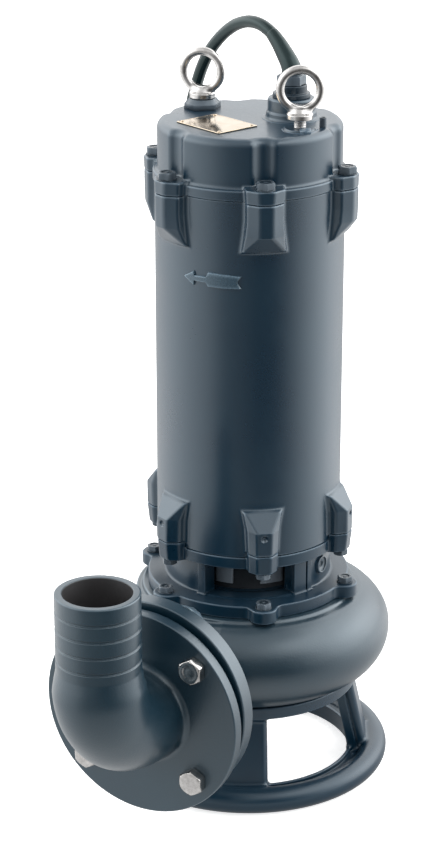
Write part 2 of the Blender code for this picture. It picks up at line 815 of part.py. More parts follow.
def build_motor_shell():
    """The motor shell casting with its six lower and six upper bolt lugs and the raised arrow."""
    shell = turned(
        "motor_shell",
        [
            (0.0, SHELL_TOP),
            (SHELL_RADIUS, SHELL_TOP),
            (SHELL_RADIUS, SHELL_BOTTOM),
            (0.0, SHELL_BOTTOM),
        ],
        60,
        CAST_PAINT,
    )
    lower = [
        (LOWER_LUG_SEAM, 0.0146, 0.0955, 0.0070, LUG_REACH, 0.0840),
        (0.2800, 0.0156, 0.0960, 0.0074, LUG_REACH, 0.0840),
        (0.2970, 0.0186, 0.0900, 0.0172, 0.0912, 0.0840),
    ]
    upper = [
        (0.5490, 0.0204, 0.0895, 0.0194, 0.0906, 0.0840),
        (0.5655, 0.0182, 0.0960, 0.0060, 0.1045, 0.0840),
        (0.5780, 0.0170, 0.0965, 0.0060, LUG_REACH, 0.0840),
        (SHELL_TOP, 0.0170, 0.0965, 0.0062, LUG_REACH, 0.0840),
    ]
    lugs = [lug("lug", levels, bearing) for bearing in LUG_BEARINGS for levels in (lower, upper)]
    shell = combine(shell, lugs, "UNION")
    low = SHELL_RADIUS - 0.004
    high = SHELL_RADIUS + ARROW_RISE
    sections = []
    for bearing, bottom, top in ARROW_STATIONS:
        corners = ((low, bottom), (high, bottom), (high, top), (low, top))
        sections.append([bearing_point(radius, bearing, height) for radius, height in corners])
    arrow = loft("arrow", sections, Matrix.Identity(4))
    smooth(combine(shell, [arrow], "UNION"))


def build_top_cover():
    """The cover casting: rounded top, six ears with a hexagon bolt on each, scallops for the tool,
    two eye bolt pads and the cable turret."""
    rounded = [
        (
            COVER_RADIUS - COVER_EDGE * (1 - math.sin(turn)),
            COVER_TOP - COVER_EDGE * (1 - math.cos(turn)),
        )
        for turn in (math.radians(angle) for angle in (0, 22.5, 45, 67.5, 90))
    ]
    base = SHELL_TOP + SEAT_GAP
    cover = turned(
        "top_cover",
        [(0.0, COVER_TOP)]
        + rounded
        + [
            (COVER_RADIUS, COVER_RING_TOP),
            (COVER_RING_RADIUS, COVER_RING_TOP - 0.001),
            (COVER_RING_RADIUS, base),
            (0.0, base),
        ],
        60,
        CAST_PAINT,
    )
    ear_levels = [
        (base, 0.0174, 0.0965, 0.0070, LUG_REACH, 0.0780),
        (EAR_TOP - 0.002, 0.0180, 0.0965, 0.0070, LUG_REACH, 0.0780),
        (EAR_TOP, 0.0165, 0.0955, 0.0060, LUG_REACH - 0.002, 0.0780),
    ]
    ears = [lug("ear", ear_levels, bearing) for bearing in LUG_BEARINGS]
    scallops = [
        cylinder(
            "scallop",
            SCALLOP_RADIUS,
            EAR_TOP,
            COVER_TOP + 0.010,
            24,
            Matrix.Translation(bearing_point(SCALLOP_CIRCLE, bearing, 0.0)),
        )
        for bearing in LUG_BEARINGS
    ]
    cover = combine(cover, scallops, "DIFFERENCE")
    right = Matrix.Translation(bearing_point(EYE_CIRCLE, EYE_RIGHT_BEARING, 0.0))
    left_place = bearing_point(EYE_CIRCLE, EYE_LEFT_BEARING, 0.0)
    left = Matrix.Translation(left_place) @ Matrix.Rotation(math.radians(28.5), 4, "Z")
    pads = [
        cylinder("pad", 0.0140, COVER_TOP - 0.004, COVER_TOP + EYE_PAD_HEIGHT, 24, right),
        hexagon_bar("pad", 0.0310, COVER_TOP - 0.004, COVER_TOP + EYE_HEX_PAD_HEIGHT, left),
    ]
    turret_place = bearing_point(*GLAND_PLACE, 0.0)
    turret = turned(
        "turret",
        [
            (0.0, GLAND_TURRET_TOP),
            (GLAND_TURRET_RADIUS - 0.002, GLAND_TURRET_TOP),
            (GLAND_TURRET_RADIUS, GLAND_TURRET_TOP - 0.002),
            (GLAND_TURRET_RADIUS, COVER_TOP + 0.007),
            (GLAND_TURRET_RADIUS + 0.002, COVER_TOP + 0.005),
            (GLAND_TURRET_RADIUS + 0.002, COVER_TOP - 0.004),
            (0.0, COVER_TOP - 0.004),
        ],
        28,
        matrix=Matrix.Translation(turret_place),
    )
    cover = combine(cover, ears + pads + [turret], "UNION")
    holes = [
        cylinder("hole", 0.0046, base - 0.004, EAR_TOP + 0.004, 10, lug_bolt_matrix(bearing, 0.0))
        for bearing in LUG_BEARINGS
    ]
    smooth(combine(cover, holes, "DIFFERENCE"))
    for number, bearing in enumerate(LUG_BEARINGS, 1):
        matrix = lug_bolt_matrix(bearing, 0.0)
        seat = EAR_TOP + SEAT_GAP
        bolt = cylinder(
            f"cover_bolt_{number}",
            0.0040,
            base + SEAT_GAP,
            seat + 0.002,
            10,
            matrix,
            DARK_BOLT,
        )
        head = hexagon_bar("head", COVER_BOLT_HEX, seat, seat + COVER_BOLT_HEAD, matrix)
        smooth(combine(bolt, [head], "UNION"))


def build_eye_bolt(name, bearing, base, shank, centre_height, ring_turn):
    """A lifting eye bolt: a round ring on a coned collar, and the bare shank that shows below it."""
    place = bearing_point(EYE_CIRCLE, bearing, 0.0)
    profile = round_section(EYE_RING_RADIUS, EYE_RING_TUBE, 10)
    upright = Matrix.Translation(place + Vector((0.0, 0.0, centre_height)))
    upright = upright @ Matrix.Rotation(math.radians(ring_turn), 4, "Z")
    upright = upright @ Matrix.Rotation(math.pi / 2, 4, "X")
    eye = turned(name, profile, 28, ZINC, closed=True, matrix=upright)
    collar_top = centre_height - EYE_RING_RADIUS + 0.001
    collar_bottom = base + shank
    foot = [(0.0055, collar_bottom), (0.0055, base)] if shank else []
    collar = turned(
        "collar",
        [
            (0.0, collar_top),
            (0.0090, collar_top),
            (0.0125, collar_top - 0.0030),
            (0.0125, collar_bottom + 0.0010),
            (0.0115, collar_bottom),
        ]
        + foot
        + [(0.0, base)],
        20,
        matrix=Matrix.Translation(place),
    )
    smooth(combine(eye, [collar], "UNION"))


def build_cover_fittings():
    """Eye bolts, bare nameplate, earth screw and the cable gland."""
    low = COVER_TOP + SEAT_GAP
    build_eye_bolt(
        "eye_bolt_right",
        EYE_RIGHT_BEARING,
        low + EYE_PAD_HEIGHT,
        EYE_RIGHT_SHANK,
        EYE_RIGHT_CENTRE,
        28.5,
    )
    build_eye_bolt(
        "eye_bolt_left", EYE_LEFT_BEARING, low + EYE_HEX_PAD_HEIGHT, 0.0, EYE_LEFT_CENTRE, 11.5
    )
    plate_matrix = Matrix.Translation(bearing_point(*PLATE_PLACE, 0.0))
    plate_matrix = plate_matrix @ Matrix.Rotation(math.radians(NAMEPLATE_TURN), 4, "Z")
    box(
        "nameplate",
        NAMEPLATE_SIZE,
        (0.0, 0.0, low + NAMEPLATE_SIZE[2] / 2),
        plate_matrix,
        PLATE_BRASS,
    )
    earth = Matrix.Translation(bearing_point(*EARTH_PLACE, 0.0))
    smooth(cylinder("earth_screw", 0.0032, low, low + 0.0085, 12, earth, DARK_BOLT))
    gland = Matrix.Translation(bearing_point(*GLAND_PLACE, 0.0))
    body_low = GLAND_TURRET_TOP + SEAT_GAP
    body_top = body_low + 0.0115
    smooth(
        turned(
            "gland_body",
            [
                (0.0, body_top),
                (0.0135, body_top),
                (0.0145, body_top - 0.0010),
                (0.0145, body_low + 0.0050),
                (0.0175, body_low + 0.0040),
                (0.0175, body_low),
                (0.0, body_low),
            ],
            24,
            CAST_PAINT,
            matrix=gland,
        )
    )
    nut_low = body_top + SEAT_GAP
    smooth(
        turned(
            "gland_nut",
            [
                (0.0, GLAND_NUT_TOP),
                (0.0105, GLAND_NUT_TOP),
                (0.0125, GLAND_NUT_TOP - 0.0020),
                (0.0125, nut_low),
                (0.0, nut_low),
            ],
            20,
            CAST_PAINT,
            matrix=gland,
        )
    )


def from_view(right, away, height):
    """A point given from the photograph's side, in the part's own frame."""
    turn = math.radians(VIEW_BEARING)
    return Vector(
        (
            right * math.cos(turn) - away * math.sin(turn),
            AXIS_Y + right * math.sin(turn) + away * math.cos(turn),
            height,
        )
    )


def build_cable():
    """The supply cable: sleeve at the gland, the hanging stretch, the coil and the bared cores."""
    route = smooth_route([from_view(*corner) for corner in CABLE_CORNERS], 3)
    travelled = 0.0
    split = 0
    while travelled < SLEEVE_LENGTH:
        travelled += (route[split + 1] - route[split]).length
        split += 1
    sleeve = route[: split + 1]
    wide, narrow = SLEEVE_RADII
    widths = [wide - (wide - narrow) * index / (len(sleeve) - 1) for index in range(len(sleeve))]
    smooth(tube("cable_sleeve", sleeve, widths, 4, CABLE_RUBBER))
    direction = (route[split] - route[split - 1]).normalized()
    free = [route[split] + direction * length for length in (SEAT_GAP, 0.001)]
    free += route[split + 1 :]
    smooth(tube("cable", free, [CABLE_RADIUS] * len(free), 3, CABLE_RUBBER))
    half_width = CABLE_RADIUS * COIL_COLUMNS
    coil_height = 2 * CABLE_RADIUS * COIL_LAYERS
    centre = from_view(*COIL_CENTRE, 0.0)
    smooth(
        turned(
            "cable_coil",
            [
                (COIL_RADIUS - half_width, coil_height),
                (COIL_RADIUS + half_width, coil_height),
                (COIL_RADIUS + half_width, 0.0),
                (COIL_RADIUS - half_width, 0.0),
            ],
            40,
            CABLE_RUBBER,
            closed=True,
            matrix=Matrix.Translation(centre),
        )
    )
    end_height = coil_height + SEAT_GAP + CORE_BUNDLE_RADIUS
    start = from_view(COIL_CENTRE[0] + COIL_RADIUS, COIL_CENTRE[1] - 0.020, end_height)
    finish = from_view(COIL_CENTRE[0] + COIL_RADIUS - 0.006, COIL_CENTRE[1] + 0.040, end_height)
    smooth(tube("cable_cores", [start, finish], [CORE_BUNDLE_RADIUS] * 2, 2, CORE_INSULATION))


build_suction_stand()
build_volute_casing()
build_impeller()
build_discharge()
build_oil_chamber()
build_chamber_bolts()
build_motor_shell()
build_top_cover()
build_cover_fittings()
build_cable()
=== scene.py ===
"""Looks of a submersible sewage pump: an upright motor on a spiral casing with a ring foot, a side
flange with an elbow hose tail, two lifting eyes and a coiled supply cable. All sizes in metres."""

from math import cos, pi, radians, sin, tan

import bpy
import numpy as np
from mathutils import Matrix, Vector


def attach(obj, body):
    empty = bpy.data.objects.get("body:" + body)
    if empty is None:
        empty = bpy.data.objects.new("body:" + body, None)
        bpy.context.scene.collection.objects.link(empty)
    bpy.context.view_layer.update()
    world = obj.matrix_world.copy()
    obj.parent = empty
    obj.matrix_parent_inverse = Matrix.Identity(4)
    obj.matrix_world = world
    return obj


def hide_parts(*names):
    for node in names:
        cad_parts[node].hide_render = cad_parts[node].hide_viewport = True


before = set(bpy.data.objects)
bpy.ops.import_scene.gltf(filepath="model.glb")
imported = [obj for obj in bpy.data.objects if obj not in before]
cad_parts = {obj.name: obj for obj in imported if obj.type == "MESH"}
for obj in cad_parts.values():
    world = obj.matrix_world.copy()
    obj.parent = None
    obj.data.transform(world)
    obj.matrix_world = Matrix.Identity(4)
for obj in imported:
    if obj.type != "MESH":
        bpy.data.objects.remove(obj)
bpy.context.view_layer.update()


# Camera: it stands to the right of the discharge and looks down on the pump a little, with a long
# lens, so that upright edges stay upright.
AXIS_Y = 0.0960
VIEW_BEARING = 28.53
VIEW_TILT = 20.52


def from_view(right, away, height):
    """A point given by how far it is right of the motor's axis and behind it, as the camera sees."""
    turn = radians(VIEW_BEARING)
    across = right * cos(turn) - away * sin(turn)
    along = right * sin(turn) + away * cos(turn)
    return Vector((across, AXIS_Y + along, height))


lens = bpy.data.cameras.new("camera")
lens.sensor_width = 36.0
lens.lens = 102.6
camera = bpy.data.objects.new("camera", lens)
camera.location = from_view(-0.0287, -2.1990, 1.1702)
camera.rotation_euler = (radians(90.0 - VIEW_TILT), 0.0, radians(VIEW_BEARING))
bpy.context.scene.collection.objects.link(camera)
bpy.context.scene.camera = camera
bpy.context.scene.view_settings.view_transform = "Standard"


# Supply cable: a round rubber cable of 8 m. It leaves the gland upwards, arcs over to the back of the
# motor, hangs to the floor behind the foot and is wound there into a round coil, held by four ties.


# Its corners are given as the camera sees them: right of the motor's axis, behind it, and height.
CABLE_LENGTH = 8.0
CABLE_RADIUS = 0.0059
GLAND_NUT_TOP = 0.6920
CABLE_CORNERS = [
    (0.0378, 0.0040, 0.6926), (0.0378, 0.0040, 0.6950), (0.0373, 0.0046, 0.6974),
    (0.0350, 0.0072, 0.7026), (0.0312, 0.0117, 0.7090), (0.0260, 0.0179, 0.7171),
    (0.0190, 0.0261, 0.7253), (0.0096, 0.0373, 0.7305), (-0.0009, 0.0496, 0.7308),
    (-0.0110, 0.0614, 0.7264), (-0.0189, 0.0707, 0.7199), (-0.0263, 0.0795, 0.7115),
    (-0.0336, 0.0881, 0.7010), (-0.0398, 0.0954, 0.6895), (-0.0449, 0.1014, 0.6769),
    (-0.0488, 0.1060, 0.6643), (-0.0521, 0.1099, 0.6518), (-0.0549, 0.1131, 0.6393),
    (-0.0575, 0.1185, 0.6200), (-0.0600, 0.1225, 0.5600), (-0.0620, 0.1265, 0.4800),
    (-0.0640, 0.1305, 0.4000), (-0.0660, 0.1350, 0.3200), (-0.0690, 0.1410, 0.2500),
    (-0.0710, 0.1490, 0.1900), (-0.0725, 0.1575, 0.1350), (-0.0735, 0.1645, 0.1000),
    (-0.0740, 0.1700, 0.0722), (-0.0741, 0.1749, 0.0473), (-0.0742, 0.1890, 0.0262),
    (-0.0743, 0.2050, 0.0145), (-0.0743, 0.2222, 0.0084),
]
SLEEVE_LENGTH = 0.0440
SLEEVE_RADII = (0.0095, 0.0062)
COIL_CENTRE = (0.0113, 0.2560)
COIL_TURN_RADII = (0.0805, 0.0685, 0.0565)
COIL_LEVELS = 6
COIL_PITCH = 0.0120
TIE_THICKNESS = 0.0013


class Link:
    """An output in a material's nodes. Sums on it add Math nodes, and node() adds any other node."""

    def __init__(self, tree, socket=None):
        self.tree = tree
        self.socket = socket

    def feed(self, made, values=(), **inputs):
        sockets = [socket for socket in made.inputs if socket.enabled]
        pairs = list(zip(sockets, values))
        for name, value in inputs.items():
            pairs.append((next(s for s in sockets if s.name.replace(" ", "_") == name), value))
        for socket, value in pairs:
            if isinstance(value, Link):
                self.tree.links.new(value.socket, socket)
            elif socket.type == "RGBA":
                socket.default_value = (*value, 1.0)
            else:
                socket.default_value = value

    def node(self, kind, settings=None, values=(), output=None, **inputs):
        made = self.tree.nodes.new("ShaderNode" + kind)
        for setting, value in (settings or {}).items():
            if setting == "stops":
                stops = made.color_ramp.elements
                while len(stops) < len(value):
                    stops.new(0.5)
                for stop, (place, colour) in zip(stops, value):
                    stop.position = place
                    stop.color = (*colour, 1.0)
            else:
                setattr(made, setting, value)
        self.feed(made, values, **inputs)
        outputs = [s for s in made.outputs if s.enabled and output in (None, s.name)]
        return Link(self.tree, outputs[0])

    def maths(self, operation, *values):
        return self.node("Math", {"operation": operation}, values)

    def __add__(self, other):
        return self.maths("ADD", self, other)

    __radd__ = __add__

    def __mul__(self, other):
        return self.maths("MULTIPLY", self, other)

    __rmul__ = __mul__

    def span(self, low, high, start=0.0, end=1.0):
        """The value stretched from low..high to start..end and kept inside it."""
        return self.node(
            "MapRange", Value=self, From_Min=low, From_Max=high, To_Min=start, To_Max=end
        )

    def mix(self, first, second):
        """The first colour, turning into the second where the value goes from 0 to 1."""
        return self.node("Mix", {"data_type": "RGBA"}, Factor=self, A=first, B=second)


def new_finish(name, **fixed):
    """A material, with the first link of its nodes and its surface shader."""
    material = bpy.data.materials.new(name)
    material.use_nodes = True
    nodes = Link(material.node_tree)
    shader = material.node_tree.nodes["Principled BSDF"]
    nodes.feed(shader, **fixed)
    return material, nodes, shader


def noise(nodes, scale, detail, roughness=0.5):
    """A cloudy pattern in the piece's own space, by how many patches it has in a metre."""
    place = nodes.node("TexCoord", output="Object")
    return nodes.node("TexNoise", Vector=place, Scale=scale, Detail=detail, Roughness=roughness)


def mottled_finish(name, size, colours, gloss=None, spread=(0.0, 1.0), relief=None, **fixed):
    """A finish with one noise in its colours and gloss, and a finer noise that raises it a little."""
    material, nodes, shader = new_finish(name, **fixed)
    cloud = noise(nodes, *size)
    nodes.feed(shader, Base_Color=cloud.span(*spread).mix(*colours))
    if gloss:
        nodes.feed(shader, Roughness=cloud.span(0.3, 0.7, *gloss))
    if relief:
        strength, distance, fine_size, fine_share, cloud_share = relief
        height = fine_share * noise(nodes, *fine_size) + cloud_share * cloud
        nodes.feed(shader, Normal=nodes.node("Bump", Strength=strength, Distance=distance, Height=height))
    return material


def skinned(loops, closed=False):
    """Points and faces of a skin over loops of points; the ends are closed with one face each."""
    size = len(loops[0])
    points = np.concatenate([np.asarray(loop, float) for loop in loops])
    faces = []
    for level in range(len(loops) if closed else len(loops) - 1):
        low = level * size
        high = (level + 1) % len(loops) * size
        for step in range(size):
            after = (step + 1) % size
            faces.append((low + step, low + after, high + after, high + step))
    if not closed:
        faces.append(tuple(reversed(range(size))))
        faces.append(tuple(range(len(points) - size, len(points))))
    return points, faces


def round_loops(stations, sides, across):
    """Rings square to a path: each station is a centre, the way the path runs and a radius."""
    turns = np.linspace(0.0, 2.0 * pi, sides, endpoint=False)
    loops = []
    for centre, way, radius in stations:
        way = Vector(way).normalized()
        first = (across - way * across.dot(way)).normalized()
        second = way.cross(first)
        ring = np.outer(np.cos(turns), first) + np.outer(np.sin(turns), second)
        loops.append(np.array(centre) + radius * ring)
    return loops


def shape(name, *parts):
    """One smooth mesh object out of parts, each its points and faces, and normals if it has them."""
    points = np.concatenate([part[0] for part in parts])
    starts = np.cumsum([0] + [len(part[0]) for part in parts]).tolist()
    faces = [[start + spot for spot in face] for start, part in zip(starts, parts) for face in part[1]]
    mesh = bpy.data.meshes.new(name)
    mesh.from_pydata(points.tolist(), [], faces)
    mesh.shade_smooth()
    flats = np.empty(len(faces) * 3)
    areas = np.empty(len(faces))
    corners = np.empty(len(mesh.loops), int)
    mesh.polygons.foreach_get("normal", flats)
    mesh.polygons.foreach_get("area", areas)
    mesh.loops.foreach_get("vertex_index", corners)
    weighted = np.repeat(flats.reshape(-1, 3) * areas[:, None], [len(f) for f in faces], axis=0)
    normals = np.zeros((len(points), 3))
    np.add.at(normals, corners, weighted)
    for start, part in zip(starts, parts):
        if len(part) > 2:
            normals[start : start + len(part[0])] = part[2]
    normals /= np.maximum(np.linalg.norm(normals, axis=1), 1e-12)[:, None]
    mesh.normals_split_custom_set_from_vertices(normals)
    piece = bpy.data.objects.new(name, mesh)
    bpy.context.scene.collection.objects.link(piece)
    return piece


def fit(piece, material, slot, *nodes):
    """Gives a piece its finish, lets it ride on the pump and hides the solids it stands for."""
    piece.data.materials.append(material)
    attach(piece, "root")
    if nodes:
        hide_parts(*nodes)
    return piece


def smooth_route(corners, per_span):
    """Points on the smooth curve that runs through all the corners."""
    knots = [Vector(corner) for corner in corners]
    knots = [knots[0] * 2 - knots[1]] + knots + [knots[-1] * 2 - knots[-2]]
    route = []
    for before, start, end, after in zip(knots, knots[1:], knots[2:], knots[3:]):
        for step in range(per_span):
            t = step / per_span
            route.append(
                0.5
                * (
                    2 * start
                    + (end - before) * t
                    + (2 * before - 5 * start + 4 * end - after) * t**2
                    + (3 * start - before - 3 * end + after) * t**3
                )
            )
    route.append(knots[-2])
    return route


def winding():
    """The coil as steps of angle, radius and level: three columns six high, then its end on top."""
    outer, middle, inner = COIL_TURN_RADII
    top = COIL_LEVELS - 1
    moves = []
    for radius, entry, levels, last_sweep in (
        (outer, ((90, 0), (180, 0)), range(1, COIL_LEVELS), 150),
        (middle, ((120, top), (150, top)), reversed(range(top)), 150),
        (inner, ((120, 0), (150, 0)), range(1, COIL_LEVELS), 20),
    ):
        column = [*entry, *((sweep, level) for level in levels for sweep in (90, 270))]
        column[-1] = (last_sweep, column[-1][1])
        moves += [(sweep, radius, level) for sweep, level in column]
    return moves + [(100, middle, COIL_LEVELS), (200, middle, COIL_LEVELS)]


def coil_points(entry_radius, base):
    """Points of the coil, wound clockwise as seen from above, from its left side on."""
    points = []
    angle = 180.0
    radius = entry_radius
    level = 0.0
    for sweep, next_radius, next_level in winding():
        count = round(sweep / 6)
        for step in range(1, count + 1):
            share = step / count
            eased = share * share * (3.0 - 2.0 * share)
            turn = radians(angle - sweep * share)
            reach = radius + (next_radius - radius) * eased
            height = base + COIL_PITCH * (level + (next_level - level) * eased)
            right = COIL_CENTRE[0] + reach * cos(turn)
            away = COIL_CENTRE[1] + reach * sin(turn)
            points.append(from_view(right, away, height))
        angle -= sweep
        radius = next_radius
        level = next_level
    return points


coil_base = CABLE_RADIUS + TIE_THICKNESS
entry = [(CABLE_CORNERS[-1][0], away, coil_base) for away in (0.2360, 0.2460, COIL_CENTRE[1])]
hang = smooth_route([from_view(*corner) for corner in CABLE_CORNERS + entry], 8)
entry_radius = COIL_CENTRE[0] - CABLE_CORNERS[-1][0]
route = []
run = 0.0
for point in hang + coil_points(entry_radius, coil_base):
    if route:
        step = (point - route[-1]).length
        if run + step > CABLE_LENGTH:
            route.append(route[-1].lerp(point, (CABLE_LENGTH - run) / step))
            break
        run += step
    route.append(point)
strand = bpy.data.curves.new("cable_strand", "CURVE")
strand.dimensions = "3D"
strand.bevel_depth = CABLE_RADIUS
strand.bevel_resolution = 5
strand.use_fill_caps = True
spline = strand.splines.new("POLY")
spline.points.add(len(route) - 1)
for spot, point in zip(spline.points, route):
    spot.co = (*point, 1.0)
spline.use_smooth = True
cable = bpy.data.objects.new("cable_strand", strand)
bpy.context.scene.collection.objects.link(cable)

rubber = mottled_finish(
    "cable_rubber_finish",
    (14.0, 4.0),
    ((0.003, 0.009, 0.010), (0.007, 0.016, 0.018)),
    gloss=(0.16, 0.24),
    spread=(0.35, 0.7),
    relief=(0.12, 0.0002, (900.0, 2.0), 1.0, 0.0),
    Specular_IOR_Level=0.42,
    Specular_Tint=(0.78, 1.0, 1.0),
)
fit(cable, rubber, "cable_rubber", "cable", "cable_coil")


# Sleeve: a soft rubber taper moulded over the cable's first 44 mm, where the gland holds it, with a
# rounded lip at its free end. It is of the cable's own rubber.
def view_way(right, away):
    """A level direction, as the camera sees it."""
    return from_view(right, away, 0.0) - from_view(0.0, 0.0, 0.0)


sleeve_stations = []
run = 0.0
for before, point, after in zip([route[0]] + route, route, route[1:]):
    run += (point - before).length
    if run > SLEEVE_LENGTH:
        break
    share = run / SLEEVE_LENGTH
    radius = SLEEVE_RADII[0] + (SLEEVE_RADII[1] - SLEEVE_RADII[0]) * share
    sleeve_stations.append((point, after - before, radius))
centre, way, radius = sleeve_stations[-1]
for back, ahead in ((0.0003, 0.0007), (0.0008, 0.0009)):
    sleeve_stations.append((centre + way.normalized() * ahead, way, radius - back))
sleeve = shape("cable_taper", skinned(round_loops(sleeve_stations, 40, view_way(0.60, 0.80))))
fit(sleeve, rubber, "cable_rubber", "cable_sleeve")


# Cores: the jacket is cut back at the cable's end, which shows four insulated cores with crimped
# metal sleeves on their tips.
CORE_RADIUS = 0.0017
CORE_LENGTH = 0.060
CORE_COLOURS = ((0.20, 0.075, 0.020), (0.012, 0.012, 0.013), (0.20, 0.21, 0.22), (0.10, 0.19, 0.03))
CRIMP = ((-0.004, 0.0021), (-0.001, 0.0021), (0.0, 0.0014), (0.0085, 0.0013), (0.009, 0.0010))
UP = Vector((0.0, 0.0, 1.0))
tin_colours = ((0.42, 0.42, 0.40), (0.66, 0.66, 0.64))
tin = mottled_finish("tinned_copper", (700.0, 3.0), tin_colours, gloss=(0.25, 0.45), Metallic=1.0)
end_way = (route[-1] - route[-2]).normalized()
end_side = UP.cross(end_way)
cores = []
for number, colour in enumerate(CORE_COLOURS, 1):
    turn = radians(90.0 * number - 45.0)
    offset = end_side * cos(turn) + UP * sin(turn)
    stations = []
    for step in range(13):
        share = step / 12
        spread = offset.dot(end_side) * (0.0026 + 0.0035 * share * share)
        centre = route[-1] + end_way * (CORE_LENGTH * share - 0.002)
        stations.append((centre + end_side * spread + UP * (offset.z * 0.0022), end_way, CORE_RADIUS))
    core = shape(f"cable_core_{number}", skinned(round_loops(stations, 14, UP)))
    dirty = tuple(channel * 0.6 for channel in colour)
    insulation = mottled_finish(
        f"core_insulation_{number}", (240.0, 3.0), (dirty, colour), spread=(0.3, 0.7), Roughness=0.42
    )
    fit(core, insulation, "core_insulation", "cable_cores")
    crimp = [(stations[-1][0] + end_way * ahead, end_way, radius) for ahead, radius in CRIMP]
    ferrule = shape(f"core_ferrule_{number}", skinned(round_loops(crimp, 14, UP)))
    cores += [core, fit(ferrule, tin, "zinc_steel")]


# Ties: four flat straps of black nylon round the coil's section, each pulled tight through a square
# lock on top.
TIE_WIDTH = 0.0052
FOUR_CORNERS = ((1, 1), (-1, 1), (-1, -1), (1, -1))
coil_mid = (COIL_TURN_RADII[0] + COIL_TURN_RADII[2]) / 2
section_half = (COIL_TURN_RADII[0] - COIL_TURN_RADII[2]) / 2 + CABLE_RADIUS + 0.0007
section_top = 2 * CABLE_RADIUS + (COIL_LEVELS - 1) * COIL_PITCH + TIE_THICKNESS + 0.0004
nylon_colours = ((0.012, 0.012, 0.013), (0.022, 0.022, 0.023))
nylon = mottled_finish("tie_nylon", (160.0, 2.0), nylon_colours, gloss=(0.38, 0.5))


def round_corners(half_across, half_along, radius, arc_steps):
    """Points round a rectangle with round corners, about its middle."""
    loop = []
    for corner, (a, b) in enumerate(FOUR_CORNERS):
        for step in range(arc_steps + 1):
            angle = radians(90.0 * (corner + step / arc_steps))
            across = a * (half_across - radius) + radius * cos(angle)
            loop.append((across, b * (half_along - radius) + radius * sin(angle)))
    return loop


tie_middle = (section_top + TIE_THICKNESS) / 2
tie_half = (section_top - TIE_THICKNESS) / 2
for number in range(4):
    turn = radians(40.0 + 90.0 * number)
    outward = view_way(cos(turn), sin(turn))
    side = Vector((-outward.y, outward.x, 0.0))
    middle = from_view(*COIL_CENTRE, 0.0) + outward * coil_mid
    loops = []
    for inset, along in ((-TIE_THICKNESS, -0.5), (-TIE_THICKNESS, 0.5), (0.0, 0.5), (0.0, -0.5)):
        ring = round_corners(section_half - inset, tie_half - inset, CABLE_RADIUS - inset, 6)
        edge = middle + side * (TIE_WIDTH * along)
        loops.append([edge + outward * reach + UP * (tie_middle + height) for reach, height in ring])
    lock = []
    for rise, grow in ((0.0, 0.0), (0.0004, 0.0004), (0.0042, 0.0004), (0.0048, 0.0)):
        wide = TIE_WIDTH / 2 + 0.0010 + grow
        top = middle + UP * (section_top + rise + TIE_THICKNESS)
        lock.append([top + side * (a * wide) + outward * (b * wide) for a, b in FOUR_CORNERS])
    tie = shape(f"cable_tie_{number + 1}", skinned(loops, closed=True), skinned(lock))
    fit(tie, nylon, "cable_rubber")


# Suction stand: one grey iron casting with the suction plate that the spiral casing sits on, four legs
# that lean outwards, each a flat strip with a round rib, and the ring foot. It is sand cast, blasted
# and sprayed dark blue green.
FOOT_RADIUS = 0.1272
FOOT_BEAD = 0.0124
FOOT_INNER = 0.1030
FOOT_WEB_TOP = 0.0130
FOOT_LIP_RADIUS = 0.1062
FOOT_LIP_TOP = 0.0170
PLATE_RADII = (0.0450, 0.1080)
PLATE_LEVELS = (0.0880, 0.1000)
LEG_BEARING = 26.0
LEG_LEAN = 12.4
LEG_LEVELS = (0.0040, 0.0960)
LEG_HEIGHTS = (0.007, 0.092)
LEG_REACHES = (0.1125, 0.0938)
LEG_HALF_WIDTHS = (0.0235, 0.0212)


def casting_paint(name, base, light, roughness, grain, grain_depth, shine=1.0):
    """Sprayed two-part paint over cast iron: clouded colour, fine peel, dust, and edges both rubbed and
    lit by a painted highlight.
    """
    sheen = {"Specular_IOR_Level": shine, "Specular_Tint": (0.82, 0.93, 1.0)}
    material, nodes, shader = new_finish(name, Coat_Weight=0.12 * shine, Coat_Roughness=0.16, **sheen)
    cloud = noise(nodes, 11.0, 4.0, 0.6)
    fleck = noise(nodes, 420.0, 2.0)
    peel = noise(nodes, 1.0 / grain, 2.0, 0.45)
    sag = noise(nodes, 45.0, 1.0)
    flecked = fleck.span(0.62, 0.8, 0.0, 0.5).mix(cloud.span(0.3, 0.7).mix(base, light), light)
    edge = nodes.node("NewGeometry", output="Pointiness")
    # Edges are made lighter by pointiness: partly rubbed paint, partly a painted highlight where rounded
    # edges catch the light.
    rubbed_and_highlit = edge.span(0.52, 0.58) * cloud.span(0.35, 0.6, 0.40, 0.90)
    worn_and_highlit = rubbed_and_highlit.mix(flecked, tuple(3.0 * channel + 0.110 for channel in light))
    facing = nodes.node("NewGeometry", output="Normal")
    up = nodes.node("SeparateXYZ", output="Z", Vector=facing)
    dust = up.span(0.5, 1.0) * cloud.span(0.4, 0.75, 0.02, 0.10)
    bump = nodes.node("Bump", Strength=grain_depth, Distance=0.0003, Height=peel + 1.5 * sag)
    rough = cloud.span(0.3, 0.7, roughness - 0.03, roughness + 0.05) + fleck.span(0.3, 0.7, -0.02, 0.02)
    nodes.feed(shader, Base_Color=dust.mix(worn_and_highlit, (0.20, 0.20, 0.19)), Roughness=rough, Normal=bump)
    return material


SMOOTH_BLUE = ((0.0008, 0.0150, 0.0330), (0.0020, 0.0220, 0.0420))
SAND_BLUE = ((0.0010, 0.0150, 0.0280), (0.0040, 0.0230, 0.0380))
smooth_paint = casting_paint("cast_paint_finish", *SMOOTH_BLUE, 0.30, 0.0011, 0.12)
# Painted shade: a copy of the smooth paint with less gloss, which makes the stand and the oil chamber
# darker, as if in shadow.
shaded_low_paint = casting_paint("low_cast_paint_finish", *SMOOTH_BLUE, 0.30, 0.0011, 0.12, shine=0.6)
sand_paint = casting_paint("sand_cast_paint_finish", *SAND_BLUE, 0.32, 0.0017, 0.34)


